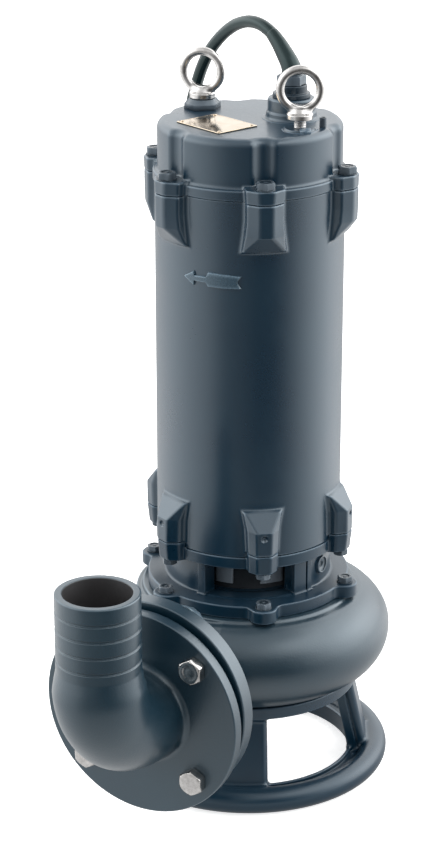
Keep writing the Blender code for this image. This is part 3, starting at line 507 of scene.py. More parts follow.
def rounded(ease, *limits):
    """Distance to the solid inside all the limits, its edges eased by a radius."""
    outside = [limit + ease for limit in limits]
    beyond = np.sqrt(sum(np.maximum(one, 0.0) ** 2 for one in outside))
    return beyond + np.minimum(np.maximum.reduce(outside), 0.0) - ease


def blend(one, other, fillet):
    """Two solids as one, with a fillet where they meet."""
    near = np.maximum(fillet - np.abs(one - other), 0.0) / fillet
    return np.minimum(one, other) - near * near * fillet / 4


def meet(one, other, ease):
    """What two solids share, its edge eased."""
    return -blend(-one, -other, ease)


def between(value, low, high):
    """Distance to the slab where a value lies between two limits."""
    return np.maximum(low - value, value - high)


def steps(*spans):
    """Grid lines: each span is a start, an end and the widest step between them."""
    lines = []
    for start, end, size in spans:
        count = int(np.ceil((end - start) / size - 1e-6))
        lines.append(np.linspace(start, end, count, endpoint=False))
    return np.append(np.concatenate(lines), spans[-1][1])


def around(reach, bearing, height):
    """A point by its reach from the motor's axis and its bearing from the discharge, in radians."""
    return reach * np.sin(bearing), AXIS_Y - reach * np.cos(bearing), height


def polar(x, y):
    """Reach from the motor's axis and bearing from the discharge in degrees."""
    return np.hypot(x, y - AXIS_Y), np.degrees(np.arctan2(x, AXIS_Y - y))


def folded(x, y, first, count):
    """The plan folded onto the first of some like features: sideways from it, and outwards."""
    reach, bearing = polar(x, y)
    pitch = 360.0 / count
    turn = np.radians((bearing - first + pitch / 2) % pitch - pitch / 2)
    return np.abs(reach * np.sin(turn)), reach * np.cos(turn)


def slope_of(distance, points, size=2e-5):
    """Direction in which a distance grows fastest at each point, and how fast."""
    slope = np.empty_like(points)
    for axis in range(3):
        shift = np.zeros(3)
        shift[axis] = size
        slope[:, axis] = (distance(*(points + shift).T) - distance(*(points - shift).T)) / (2 * size)
    return slope


def rim_faces(quads, count):
    """One face for each open rim of a skin, where its grid ends inside the metal."""
    starts = quads.ravel()
    ends = np.roll(quads, -1, axis=1).ravel()
    open_edge = ~np.isin(starts * count + ends, ends * count + starts)
    follow = dict(zip(ends[open_edge].tolist(), starts[open_edge].tolist()))
    faces = []
    while follow:
        first, spot = follow.popitem()
        rim = [first]
        while spot != first:
            rim.append(spot)
            spot = follow.pop(spot)
        faces.append(rim)
    return faces


def cast_skin(distance, first, second, third, place, wrap=False):
    """The skin of a solid given by its distance, found on a grid and then set exactly on it."""
    grid = np.meshgrid(first, second, third, indexing="ij")
    points = np.stack(np.broadcast_arrays(*place(*grid)), -1)
    value = distance(*np.moveaxis(points, -1, 0))
    around_count = len(second)
    if wrap:
        points = np.concatenate([points, points[:, :1]], 1)
        value = np.concatenate([value, value[:, :1]], 1)
    inside = value < 0.0
    cells = tuple(size - 1 for size in value.shape)
    total = np.zeros(cells + (3,))
    count = np.zeros(cells)
    crossed_edges = []
    for axis in range(3):
        low = tuple(slice(None, -1) if k == axis else slice(None) for k in range(3))
        high = tuple(slice(1, None) if k == axis else slice(None) for k in range(3))
        crossed = inside[low] != inside[high]
        share = np.where(crossed, value[low] / np.where(crossed, value[low] - value[high], 1.0), 0.0)
        spot = points[low] + share[..., None] * (points[high] - points[low])
        spot *= crossed[..., None]
        others = [k for k in range(3) if k != axis]
        for shift in ((0, 0), (0, 1), (1, 0), (1, 1)):
            part = [slice(None)] * 3
            for k, start in zip(others, shift):
                part[k] = slice(start, value.shape[k] - 1 + start)
            total += spot[tuple(part)]
            count += crossed[tuple(part)]
        crossed_edges.append(crossed)
    used = count > 0
    index = np.full(cells, -1)
    index[used] = np.arange(used.sum())
    skin = total[used] / count[used][:, None]
    faces = []
    for axis, crossed in enumerate(crossed_edges):
        next_axis, last_axis = (axis + 1) % 3, (axis + 2) % 3
        start = np.argwhere(crossed)
        for k in (next_axis, last_axis):
            if wrap and k == 1:
                start = start[start[:, k] < around_count]
            else:
                start = start[(start[:, k] > 0) & (start[:, k] < value.shape[k] - 1)]
        corners = []
        for shift in ((1, 1), (0, 1), (0, 0), (1, 0)):
            cell = start.copy()
            cell[:, next_axis] -= shift[0]
            cell[:, last_axis] -= shift[1]
            if wrap:
                cell[:, 1] %= around_count
            corners.append(index[tuple(cell.T)])
        quads = np.stack(corners, 1)
        flipped = ~inside[tuple(start.T)]
        quads[flipped] = quads[flipped][:, ::-1]
        faces.append(quads)
    for _ in range(4):
        slope = slope_of(distance, skin)
        length = np.maximum((slope**2).sum(1), 0.05)
        move = slope * (distance(*skin.T) / length)[:, None]
        far = np.maximum(np.linalg.norm(move, axis=1) / 0.0010, 1.0)
        skin = skin - move / far[:, None]
    quads = np.concatenate(faces)
    return skin, quads.tolist() + rim_faces(quads, len(skin)), slope_of(distance, skin)


def cast_round(distance, reaches, sides, heights):
    """The skin of a casting that goes round the motor's axis, by the steps of its grid."""
    rounds = np.linspace(0.0, 2.0 * pi, sides, endpoint=False)
    return cast_skin(distance, steps(*reaches), rounds, steps(*heights), around, wrap=True)


def suction_stand(x, y, z):
    reach, _ = polar(x, y)
    sideways, outwards = folded(x, y, LEG_BEARING, 4)
    bead = np.hypot(reach - FOOT_RADIUS, z - FOOT_BEAD) - FOOT_BEAD
    web = rounded(0.0015, between(reach, FOOT_INNER, FOOT_RADIUS), between(z, 0.0, FOOT_WEB_TOP))
    lip = rounded(0.0010, between(reach, FOOT_INNER, FOOT_LIP_RADIUS), between(z, 0.0, FOOT_LIP_TOP))
    foot = np.minimum(blend(bead, web, 0.0050), lip)
    plate = rounded(0.0014, between(reach, *PLATE_RADII), between(z, *PLATE_LEVELS))
    depth = (outwards - np.interp(z, LEG_HEIGHTS, LEG_REACHES)) * cos(radians(LEG_LEAN))
    within = (sideways - np.interp(z, LEG_HEIGHTS, LEG_HALF_WIDTHS), between(z, *LEG_LEVELS))
    strip = rounded(0.0016, *within, between(depth, -0.0095, 0.0))
    rib = rounded(0.0050, *within, between(depth, -0.0012, 0.0095))
    legs = np.minimum(strip, rib)
    return np.maximum(blend(blend(foot, legs, 0.0055), plate, 0.0055), -z)


stand_skin = cast_round(
    suction_stand,
    ((0.0420, 0.0480, 0.0012), (0.0480, 0.0800, 0.0060), (0.0800, 0.1420, 0.0013)),
    440,
    ((-0.0020, 0.0280, 0.0013), (0.0280, 0.0800, 0.0026), (0.0800, 0.1020, 0.0013)),
)
fit(shape("suction_stand_casting", stand_skin), shaded_low_paint, "cast_paint", "suction_stand")


# Spiral casing: a sand casting whose round channel widens towards the discharge, with a flat drum on
# top for the oil chamber and a short neck with the square-bolted flange. Same paint on a coarser skin.
CHANNEL_HEIGHT = 0.1450
DRUM_RADIUS = 0.1040
DRUM_LEVELS = (0.1003, 0.1900)
LEDGE_RADIUS = 0.1100
LEDGE_LEVELS = (0.1200, 0.1845)
CHAMBER_RADIUS = 0.0720
CHAMBER_LEVELS = (0.0500, 0.1720)
NOZZLE_X = 0.0039
NOZZLE_HEIGHT = 0.1414
NECK_RADIUS = 0.0408
NECK_END = 0.1545


def spiral_casing(x, y, z):
    reach, bearing = polar(x, y)
    onwards = (15.0 - bearing) % 360.0 - 15.0
    grown = np.interp(onwards, [-15.0, 15.0, 240.0, 345.0], [1.0, 0.06, 1.0, 1.0])
    channel = 0.0370 + 0.0069 * grown
    outer = 0.1160 + 0.0233 * grown
    tube = np.hypot(reach - (outer - channel), z - CHANNEL_HEIGHT) - channel
    drum = rounded(0.0015, reach - DRUM_RADIUS, between(z, *DRUM_LEVELS))
    ledge = rounded(0.0012, reach - LEDGE_RADIUS, between(z, *LEDGE_LEVELS))
    casing = blend(blend(tube, ledge, 0.0040), drum, 0.0030)
    neck = np.hypot(x - NOZZLE_X, z - NOZZLE_HEIGHT) - NECK_RADIUS
    neck = rounded(0.0002, neck, between(AXIS_Y - y, 0.0700, NECK_END))
    casing = blend(casing, neck, 0.0100)
    chamber = rounded(0.0040, reach - CHAMBER_RADIUS, between(z, *CHAMBER_LEVELS))
    return np.maximum(casing, -chamber)


casing_reaches = ((0.0620, 0.0800, 0.0040), (0.0800, 0.1640, 0.0015))
casing_skin = cast_round(spiral_casing, casing_reaches, 440, ((0.0985, 0.1920, 0.0015),))


def eased(corners, arc_steps=4):
    """A profile whose corners are rounded by the third number of each corner."""
    points = []
    for number, corner in enumerate(corners):
        here = np.array(corner[:2])
        if len(corner) < 3:
            points.append(tuple(here))
            continue
        before = np.array(corners[number - 1][:2]) - here
        after = np.array(corners[(number + 1) % len(corners)][:2]) - here
        before /= np.linalg.norm(before)
        after /= np.linalg.norm(after)
        half = np.arccos(np.clip(before @ after, -1.0, 1.0)) / 2
        middle = before + after
        centre = here + middle / np.linalg.norm(middle) * corner[2] / np.sin(half)
        start = here + before * corner[2] / np.tan(half) - centre
        end = here + after * corner[2] / np.tan(half) - centre
        first = np.arctan2(start[1], start[0])
        sweep = (np.arctan2(end[1], end[0]) - first + pi) % (2.0 * pi) - pi
        for share in np.linspace(0.0, 1.0, arc_steps + 1):
            angle = first + sweep * share
            points.append(tuple(centre + corner[2] * np.array((np.cos(angle), np.sin(angle)))))
    return points


def turned(matrix, profile, sides):
    """A round part from its profile of radius and height, about the matrix's Z axis."""
    way = matrix.to_3x3() @ UP
    across = matrix.to_3x3() @ Vector((1.0, 0.0, 0.0))
    stations = [(matrix @ Vector((0.0, 0.0, height)), way, radius) for radius, height in eased(profile)]
    return skinned(round_loops(stations, sides, across))


NOZZLE = Matrix.Translation((NOZZLE_X, AXIS_Y, NOZZLE_HEIGHT)) @ Matrix.Rotation(pi / 2, 4, "X")
CASING_FLANGE_BACK = 0.1841
CASING_FLANGE_FACE = 0.2011
CASING_RIM = (0.0005, 0.0047, 0.0984)
neck_flare = turned(
    NOZZLE,
    [
        (NECK_RADIUS - 0.0002, 0.1500),
        (NECK_RADIUS, NECK_END),
        (NECK_RADIUS, CASING_FLANGE_BACK, 0.0070),
        (0.0560, CASING_FLANGE_BACK),
        (0.0560, CASING_FLANGE_BACK + 0.0020),
    ],
    120,
)
right, up, radius = CASING_RIM
casing_flange = turned(
    NOZZLE @ Matrix.Translation((right, up, 0.0)),
    [
        (0.0300, CASING_FLANGE_BACK),
        (radius, CASING_FLANGE_BACK, 0.0014),
        (radius, CASING_FLANGE_FACE, 0.0016),
        (0.0300, CASING_FLANGE_FACE),
    ],
    120,
)
web_loops = []
for ahead, top, left, right in (
    (0.1870, 0.2408, 0.0170, 0.0440),
    (0.1840, 0.2408, 0.0170, 0.0440),
    (0.1700, 0.2335, 0.0170, 0.0425),
    (0.1520, 0.2130, 0.0170, 0.0400),
    (0.1300, 0.1850, 0.0150, 0.0360),
):
    corners = [(right, 0.1500), (right, top - 0.0080), (right - 0.0030, top - 0.0035)]
    corners += [(right - 0.0090, top), (left + 0.0040, top), (left, top - 0.0030), (left, 0.1500)]
    web_loops.append([(x, AXIS_Y - ahead, z) for x, z in corners])
casing = shape("spiral_casing", casing_skin, neck_flare, casing_flange, skinned(web_loops[::-1]))
fit(casing, sand_paint, "sand_cast_paint", "volute_casing")


# Impeller and seal housing: cast pieces deep inside, seen only through the suction hole and the two
# windows, so their solids stay and get a dull dark paint, made near black and almost without gloss
# as painted shade for the dark inside. Each window shows two machined lands.
DULL_SHADE_BLUE = ((0.001, 0.003, 0.006), (0.003, 0.006, 0.010))
LAND_GREY = ((0.036, 0.050, 0.066), (0.060, 0.076, 0.094))
# Painted shade: near black with very little gloss, so the inside of the chamber reads dark.
dull_shade_paint = casting_paint("dull_paint_finish", *DULL_SHADE_BLUE, 0.50, 0.0011, 0.20, shine=0.1)
land_metal = casting_paint("land_finish", *LAND_GREY, 0.42, 0.0011, 0.20)
for node in ("impeller", "seal_housing"):
    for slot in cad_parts[node].material_slots:
        slot.material = dull_shade_paint
lands = []
for first, last in ((-4.0, 13.5), (39.5, 62.0), (176.0, 193.5), (219.5, 242.0)):
    loops = []
    for bearing in np.radians(np.linspace(first, last, 9)):
        section = ((0.0572, 0.2345), (0.0600, 0.2345), (0.0600, 0.2095), (0.0572, 0.2095))
        loops.append([around(reach, bearing, height) for reach, height in section])
    lands.append(skinned(loops))
fit(shape("seal_housing_lands", *lands), land_metal, "cast_paint")


# Flange gasket: a 4 mm ring of fibre reinforced rubber, dull black, cut from sheet and squeezed
# between the two flanges.
fibre = mottled_finish(
    "gasket_fibre",
    (600.0, 4.0),
    ((0.010, 0.010, 0.010), (0.030, 0.030, 0.029)),
    gloss=(0.7, 0.85),
    relief=(0.3, 0.0003, (600.0, 4.0), 1.0, 0.0),
)
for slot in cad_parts["flange_gasket"].material_slots:
    slot.material = fibre


# Discharge elbow: a hollow sand casting with a round flange, a quarter bend and an upright hose tail
# with four grooves that grip the hose. It is sprayed like the casing, but bare inside its tail.
FLANGE_BACK = 0.2051
FLANGE_FACE = 0.2171
ELBOW_RIM = (-0.0013, -0.0020, 0.0996)
TAIL_DISTANCE = 0.2894
BEND_RADIUS = 0.0620
TAIL_RADIUS = 0.0384
TAIL_BORE = 0.0312
TAIL_TOP = 0.2900
bend_start = TAIL_DISTANCE - BEND_RADIUS
bend_end = bend_start + BEND_RADIUS * pi / 2


def elbow_station(radius, run):
    """Where a loop of the elbow lies after some run from the motor's axis; the rim is a little off."""
    turn = min(max((run - bend_start) / BEND_RADIUS, 0.0), pi / 2)
    straight = min(run, bend_start) + BEND_RADIUS * sin(turn)
    height = NOZZLE_HEIGHT + BEND_RADIUS * (1.0 - cos(turn)) + max(run - bend_end, 0.0)
    share = min(max(radius / 0.0300 - 2.0, 0.0), 1.0)
    middle = Vector((NOZZLE_X + share * ELBOW_RIM[0], AXIS_Y - straight, height + share * ELBOW_RIM[1]))
    return middle, Vector((0, -cos(turn), sin(turn))), radius


def tail_run(height):
    return bend_end + height - NOZZLE_HEIGHT - BEND_RADIUS


elbow_profile = [
    (0.0330, FLANGE_BACK),
    (ELBOW_RIM[2], FLANGE_BACK, 0.0010),
    (ELBOW_RIM[2], FLANGE_FACE, 0.0014),
    (0.0460, FLANGE_FACE, 0.0060),
    (0.0460, bend_start),
    (0.0422, bend_start + 0.0560),
    (0.0422, bend_end - 0.0060),
    (TAIL_RADIUS, tail_run(0.2170), 0.0100),
]
for groove in (0.2275, 0.2430, 0.2585, 0.2740):
    elbow_profile += [
        (TAIL_RADIUS, tail_run(groove - 0.0016), 0.0005),
        (TAIL_RADIUS - 0.0013, tail_run(groove - 0.0007), 0.0005),
        (TAIL_RADIUS - 0.0013, tail_run(groove + 0.0007), 0.0005),
        (TAIL_RADIUS, tail_run(groove + 0.0016), 0.0005),
    ]
elbow_profile += [
    (TAIL_RADIUS, tail_run(TAIL_TOP), 0.0016),
    (TAIL_BORE, tail_run(TAIL_TOP), 0.0012),
    (TAIL_BORE, FLANGE_BACK + 0.0060),
]
elbow_curve = eased(elbow_profile)
stations = []
for (radius, run), (next_radius, next_run) in zip(elbow_curve, elbow_curve[1:] + elbow_curve[:1]):
    pieces = max(1, round(abs(next_run - run) / 0.0040))
    for share in np.arange(pieces) / pieces:
        place = (radius + (next_radius - radius) * share, run + (next_run - run) * share)
        stations.append(elbow_station(*place))
elbow = shape("hose_elbow", skinned(round_loops(stations, 96, Vector((1, 0, 0))), closed=True))
fit(elbow, sand_paint, "sand_cast_paint", "discharge_elbow")
bore_paint = casting_paint("bore_finish", (0.018, 0.015, 0.015), (0.030, 0.025, 0.024), 0.55, 0.0017, 0.4)
elbow.data.materials.append(bore_paint)
for face in elbow.data.polygons:
    middle = face.center - Vector((NOZZLE_X, AXIS_Y - TAIL_DISTANCE, 0.0))
    if middle.z > 0.1800 and middle.xy.length < TAIL_BORE + 0.0004:
        face.material_index = 1


# Flange bolts: four hexagon bolts of zinc plated steel go through both flanges and the gasket, with
# nuts at the back, from which their threads stick out.
BOLT_OFFSET = 0.0560
FLANGE_HEX = 0.0220
SEAT_GAP = 0.0003
zinc, nodes, shader = new_finish("zinc_finish", Metallic=1.0)
bloom = noise(nodes, 130.0, 4.0, 0.6)
colour = bloom.span(0.35, 0.65).mix((0.42, 0.41, 0.40), (0.60, 0.59, 0.58))
# Painted shade: the zinc turns dark brown in creases and hollows, where pointiness is low.
edge = nodes.node("NewGeometry", output="Pointiness")
colour = edge.span(0.40, 0.47, 0.75, 0.0).mix(colour, (0.10, 0.09, 0.075))
height = noise(nodes, 1500.0, 2.0) + 1.5 * bloom
bump = nodes.node("Bump", Strength=0.10, Distance=0.0002, Height=height)
nodes.feed(shader, Base_Color=colour, Roughness=bloom.span(0.3, 0.7, 0.12, 0.26), Normal=bump)


def ring_at(matrix, turns, spots):
    """Points about the matrix's Z axis, each by its turn, radius and height."""
    return [matrix @ Vector((r * cos(turn), r * sin(turn), h)) for turn, (r, h) in zip(turns, spots)]


def hexagon(matrix, across, seat, crown, dished=False):
    """A hexagon head or nut from its seat to its crown, whose corners a cone has cut back."""
    sides = [(60.0 * side, turn) for side in range(6) for turn in (-28.6, -15.0, 0.0, 15.0, 28.6)]
    turns = [radians(side + turn) for side, turn in sides]
    reach = [across / 2 / cos(radians(turn)) for _, turn in sides]
    up = 1.0 if crown > seat else -1.0
    flat = across / 2 * 0.94
    ring_sets = [
        [(wide - 0.0004, seat) for wide in reach],
        [(wide, seat + up * 0.0004) for wide in reach],
        [(wide, crown - up * (wide - flat) * tan(radians(30.0))) for wide in reach],
        [(flat, crown)] * 30,
        [(flat * 0.72, crown)] * 30,
    ]
    if dished:
        for share, depth in ((0.66, 0.0007), (0.30, 0.0007), (0.24, 0.0002)):
            ring_sets.append([(flat * share, crown - up * depth)] * 30)
    points, faces = skinned([ring_at(matrix, turns, ring) for ring in ring_sets])
    if up < 0:
        faces = [face[::-1] for face in faces]
    return points, faces


def thread(matrix, radius, pitch, low, high, sides=28):
    """A screw thread on the matrix's Z axis, with a chamfered start at its high end."""
    heights = np.arange(low, high, pitch / 5 if high > low else -pitch / 5)
    turns = np.linspace(0.0, 2.0 * pi, sides, endpoint=False)
    loops = []
    for height in list(heights) + [high]:
        wave = np.abs((height / pitch - turns / (2.0 * pi)) % 1.0 * 2.0 - 1.0)
        depth = pitch * 0.55 * wave
        room = abs(high - height)
        reach = np.minimum(radius - depth, radius - pitch * 0.6 + room)
        loops.append(ring_at(matrix, turns, [(r, height) for r in reach]))
    points, faces = skinned(loops)
    if high < low:
        faces = [face[::-1] for face in faces]
    return points, faces


for number, (across, up) in enumerate(FOUR_CORNERS, 1):
    axis = NOZZLE @ Matrix.Translation((across * BOLT_OFFSET, up * BOLT_OFFSET, 0.0))
    head = hexagon(axis, FLANGE_HEX, FLANGE_FACE + SEAT_GAP, FLANGE_FACE + 0.0098, dished=up > 0)
    nut = hexagon(axis, FLANGE_HEX, CASING_FLANGE_BACK - SEAT_GAP, CASING_FLANGE_BACK - 0.0123)
    shank = turned(axis, [(0.0068, 0.1750), (0.0068, FLANGE_FACE + 0.0020)], 28)
    end = thread(axis, 0.0069, 0.0020, 0.1750, CASING_FLANGE_BACK - 0.0178)
    bolt = shape(f"flange_screw_{number}", head, nut, shank, end)
    fit(bolt, zinc, "zinc_steel", f"flange_bolt_{number}")


# Oil chamber: a casting with a flange of six round lobes, curved walls with a window at the front and
# one at the back, and a ring whose six lugs carry the motor.
LUG_FIRST = 36.2
LOBE_CIRCLE = 0.0995
WALL_RADIUS = 0.0800
WALL_LEVELS = (0.2000, 0.2400)
WINDOW_MIDDLE = 29.0
WINDOW_HALF = 31.0
WINDOW_LEVELS = (0.2036, 0.2372)
FRAME_BARS = ((-37.0, -WINDOW_HALF), (WINDOW_HALF, 41.2), (42.2, 46.6))
BRACKET_LUGS = ((0.2373, 0.0138, 0.0950, 0.0065, 0.1030), (0.2562, 0.0144, 0.0960, 0.0070, 0.1050))


def lug(x, y, z, levels, ease):
    """Six like lugs: levels of height, half width, shoulder, nose and reach, in between straight."""
    sideways, outwards = folded(x, y, LUG_FIRST, 6)
    heights = [level[0] for level in levels]
    half, shoulder, nose, reach = (
        np.interp(z, heights, [level[k] for level in levels]) for k in range(1, 5)
    )
    run, rise = reach - shoulder, half - nose
    cheek = ((sideways - half) * run + (outwards - shoulder) * rise) / np.hypot(run, rise)
    plan = meet(meet(sideways - half, cheek, ease), outwards - reach, ease)
    return meet(plan, np.maximum(heights[0] - z, z - heights[-1]), ease)


def oil_chamber(x, y, z):
    reach, bearing = polar(x, y)
    turn = (bearing - WINDOW_MIDDLE + 90.0) % 180.0 - 90.0
    sideways, outwards = folded(x, y, LUG_FIRST, 6)
    lobes = np.hypot(sideways, outwards - LOBE_CIRCLE) - 0.0130
    plan = blend(reach - 0.0980, lobes, 0.0070)
    flange = rounded(0.0012, plan, between(z, 0.1903, 0.2030))
    wall = rounded(0.0008, reach - WALL_RADIUS, between(z, *WALL_LEVELS))

    def past(edge):
        """How far a point lies beyond an upright plane at an angle from its window's middle."""
        return reach * np.sin(np.radians(turn - edge))

    for first, last in FRAME_BARS:
        bar = rounded(0.0010, -past(first), past(last), reach - 0.0826, between(z, *WALL_LEVELS))
        wall = blend(wall, bar, 0.0008)
    window = rounded(0.0020, past(WINDOW_HALF), -past(-WINDOW_HALF), between(z, *WINDOW_LEVELS))
    wall = meet(wall, -window, 0.0012)
    ring = rounded(0.0010, reach - 0.0896, between(z, 0.2380, 0.2495))
    lugs = lug(x, y, z, BRACKET_LUGS, 0.0014)
    lugs = np.maximum(lugs, np.minimum(0.0890 - reach, z - 0.2494))
    inside = np.maximum(reach - 0.0650, np.abs(z - 0.2210) - 0.0172)
    body = blend(blend(flange, wall, 0.0030), ring, 0.0020)
    return np.maximum(blend(body, lugs, 0.0025), -inside)


bracket_skin = cast_round(
    oil_chamber,
    ((0.0560, 0.0630, 0.0035), (0.0630, 0.1150, 0.0013)),
    480,
    ((0.1890, 0.2060, 0.0012), (0.2060, 0.2360, 0.0025), (0.2360, 0.2580, 0.0012)),
)
fit(shape("oil_chamber_casting", bracket_skin), shaded_low_paint, "cast_paint", "oil_chamber")
PLUG_BEARING = 88.5
PLUG_HEIGHT = 0.2222


def upright(reach, bearing, turn=0.0):
    """The axis of a part that stands upright, by its place round the motor's axis, in degrees."""
    spot = Vector(around(reach, radians(bearing), 0.0))
    return Matrix.Translation(spot) @ Matrix.Rotation(radians(turn), 4, "Z")


axis = upright(WALL_RADIUS, PLUG_BEARING, PLUG_BEARING) @ Matrix.Translation((0.0, 0.0, PLUG_HEIGHT))
axis = axis @ Matrix.Rotation(pi / 2, 4, "X")
rim = [(0.0090, -0.0040), (0.0090, 0.0024, 0.0009), (0.0070, 0.0024, 0.0007), (0.0070, 0.0010)]
face = [(0.0030, 0.0010), (0.0030, -0.0008), (0.0002, -0.0008)]
plug = turned(axis, [(0.0010, -0.0040)] + rim + face, 40)
fit(shape("oil_plug_rim", plug), smooth_paint, "cast_paint")


# Bolts of the oil chamber: M8 hexagon bolts, painted over with the pump. Six stand on the lobes and
# six go up from below into the motor's lower lugs.
BOLT_BLUE = ((0.0015, 0.0080, 0.0160), (0.0040, 0.0140, 0.0240))
bolt_paint = casting_paint("bolt_paint_finish", *BOLT_BLUE, 0.24, 0.0009, 0.14, shine=0.45)
LUG_BOLT_CIRCLE = 0.0955


def lug_axis(number, circle):
    bearing = LUG_FIRST + 60.0 * number
    return upright(circle, bearing, bearing)


def washer(axis, radius, low, high, sides):
    """A thin washer with an eased upper rim."""
    return turned(axis, [(0.0010, low), (radius, low), (radius, high, 0.0004), (0.0010, high)], sides)


for number in range(6):
    axis = lug_axis(number, LOBE_CIRCLE + 0.0010)
    head = hexagon(axis, 0.0130, 0.2033, 0.2088, dished=True)
    bolt = shape(f"chamber_screw_{number + 1}", head, washer(axis, 0.0078, 0.2031, 0.2040, 32))
    fit(bolt, bolt_paint, "painted_bolt", f"chamber_bolt_{number + 1}")
    axis = lug_axis(number, LUG_BOLT_CIRCLE)
    head = hexagon(axis, 0.0130, 0.2370, 0.2315, dished=True)
    shank = turned(axis, [(0.0040, 0.2350), (0.0040, 0.2560)], 16)
    bolt = shape(f"bracket_screw_{number + 1}", head, shank)
    fit(bolt, bolt_paint, "painted_bolt", f"bracket_bolt_{number + 1}")


# Motor shell: the cast barrel of the motor with six lugs at each end, their faces sloped for the
# pattern's draft, and a dimple in each lower lug.
SHELL_RADIUS = 0.0886
SHELL_LEVELS = (0.2498, 0.5955)
LUG_EASE = 0.0016
LOWER_LUGS = [
    (0.2565, 0.0146, 0.0955, 0.0070, 0.1050),
    (0.2800, 0.0156, 0.0960, 0.0074, 0.1050),
    (0.2970, 0.0186, 0.0900, 0.0172, 0.0912),
]
UPPER_LUGS = [
    (0.5490, 0.0204, 0.0895, 0.0194, 0.0906),
    (0.5655, 0.0182, 0.0960, 0.0060, 0.1045),
    (0.5780, 0.0170, 0.0965, 0.0060, 0.1050),
    (0.5955, 0.0170, 0.0965, 0.0062, 0.1050),
]


def motor_shell(x, y, z):
    reach, _ = polar(x, y)
    sideways, outwards = folded(x, y, LUG_FIRST, 6)
    barrel = rounded(0.0008, reach - SHELL_RADIUS, between(z, *SHELL_LEVELS))
    lugs = np.minimum(lug(x, y, z, LOWER_LUGS, LUG_EASE), lug(x, y, z, UPPER_LUGS, LUG_EASE))
    dimple = np.sqrt(sideways**2 + (outwards - 0.1062) ** 2 + (z - 0.2745) ** 2) - 0.0034
    return meet(blend(barrel, lugs, 0.0040), -dimple, 0.0008)


barrel_skin = cast_round(
    motor_shell,
    ((0.0800, 0.0860, 0.0030), (0.0860, 0.1080, 0.0012)),
    480,
    ((0.2480, 0.3010, 0.0013), (0.3010, 0.5450, 0.0080), (0.5450, 0.5980, 0.0013)),
)
fit(shape("motor_barrel", barrel_skin), smooth_paint, "cast_paint", "motor_shell")


# Rotation arrow: cast raised on the front of the barrel, with a narrow neck behind its head and a
# swallow tail. Stations are a bearing, and the arrow's low and high edge there.
ARROW_RISE = 0.0020
ARROW_STATIONS = [
    (-13.1, 0.5207, 0.5211),
    (-6.7, 0.5139, 0.5268),
    (-6.1, 0.5182, 0.5230),
    (1.8, 0.5182, 0.5232),
    (3.0, 0.5146, 0.5276),
    (13.0, 0.5142, 0.5268),
    (22.8, 0.5146, 0.5258),
]
ARROW_NOTCH = 2.4


def on_barrel(bearing, height, rise):
    return Vector(around(SHELL_RADIUS + rise, radians(bearing), height))


def arrow_loop(bearing, low, high, sunk):
    """The arrow's section at one bearing; its middle lags behind near the swallow tail."""
    lag = ARROW_NOTCH * min(max((bearing - 17.8) / 5.0, 0.0), 1.0)
    spots = [(low - 0.0007, -0.0015, 0.0), (low, ARROW_RISE - 0.0004, 0.0)]
    spots += [(low + (high - low) * f, ARROW_RISE, f) for f in (0.04, 0.27, 0.5, 0.73, 0.96)]
    spots += [(high, ARROW_RISE - 0.0004, 1.0), (high + 0.0007, -0.0015, 1.0)]
    loop = []
    for height, rise, f in reversed(spots):
        behind = bearing - lag * (1.0 - abs(2.0 * f - 1.0))
        loop.append(on_barrel(behind, height, -0.0015 if sunk else rise))
    return loop


bearings = sorted({station[0] for station in ARROW_STATIONS} | set(np.arange(-12.0, 22.5, 1.0)))
lows, highs = (
    np.interp(bearings, [s[0] for s in ARROW_STATIONS], [s[k] for s in ARROW_STATIONS])
    for k in (1, 2)
)
loops = [arrow_loop(b, low, high, False) for b, low, high in zip(bearings, lows, highs)]
loops.insert(0, arrow_loop(bearings[0] - 0.5, lows[0], highs[0], True))
loops.append(arrow_loop(bearings[-1] + 0.4, lows[-1], highs[-1], True))
# Painted highlight: the arrow's paint is lighter than the barrel's, as if its raised top caught the
# light.
ARROW_HIGHLIT_BLUE = ((0.012, 0.040, 0.065), (0.030, 0.062, 0.090))
arrow_highlight_paint = casting_paint("arrow_finish", *ARROW_HIGHLIT_BLUE, 0.26, 0.0011, 0.12)
fit(shape("rotation_arrow", skinned(loops)), arrow_highlight_paint, "cast_paint")


# Top cover: a casting like a low cup, with six ears on its rim for the cover bolts, a round scallop
# above each ear that gives a spanner room, two pads for the eye bolts and the cable's turret.
COVER_LOW = 0.5958
COVER_TOP = 0.6510
COVER_RADIUS = 0.0860
EAR_TOP = 0.6085
COVER_EARS = [
    (COVER_LOW, 0.0174, 0.0965, 0.0062, 0.1050),
    (EAR_TOP, 0.0180, 0.0965, 0.0070, 0.1050),
]


def top_cover(x, y, z):
    reach, _ = polar(x, y)
    sideways, outwards = folded(x, y, LUG_FIRST, 6)
    scallop = 0.0130 - np.hypot(sideways, outwards - 0.0940)
    side = meet(reach - COVER_RADIUS, scallop, 0.0026)
    dome = np.maximum(rounded(0.0075, side, z - COVER_TOP), COVER_LOW - z)
    ring = rounded(0.0012, reach - 0.0902, between(z, COVER_LOW, 0.6055))
    ears = lug(x, y, z, COVER_EARS, LUG_EASE)
    return blend(blend(dome, ring, 0.0040), ears, 0.0028)


cover_skin = cast_round(
    top_cover,
    ((0.0080, 0.0680, 0.0060), (0.0680, 0.1080, 0.0012)),
    480,
    ((0.5940, 0.6140, 0.0012), (0.6140, 0.6410, 0.0030), (0.6410, 0.6530, 0.0012)),
)
fit(shape("top_cover_casting", cover_skin), smooth_paint, "cast_paint", "top_cover")

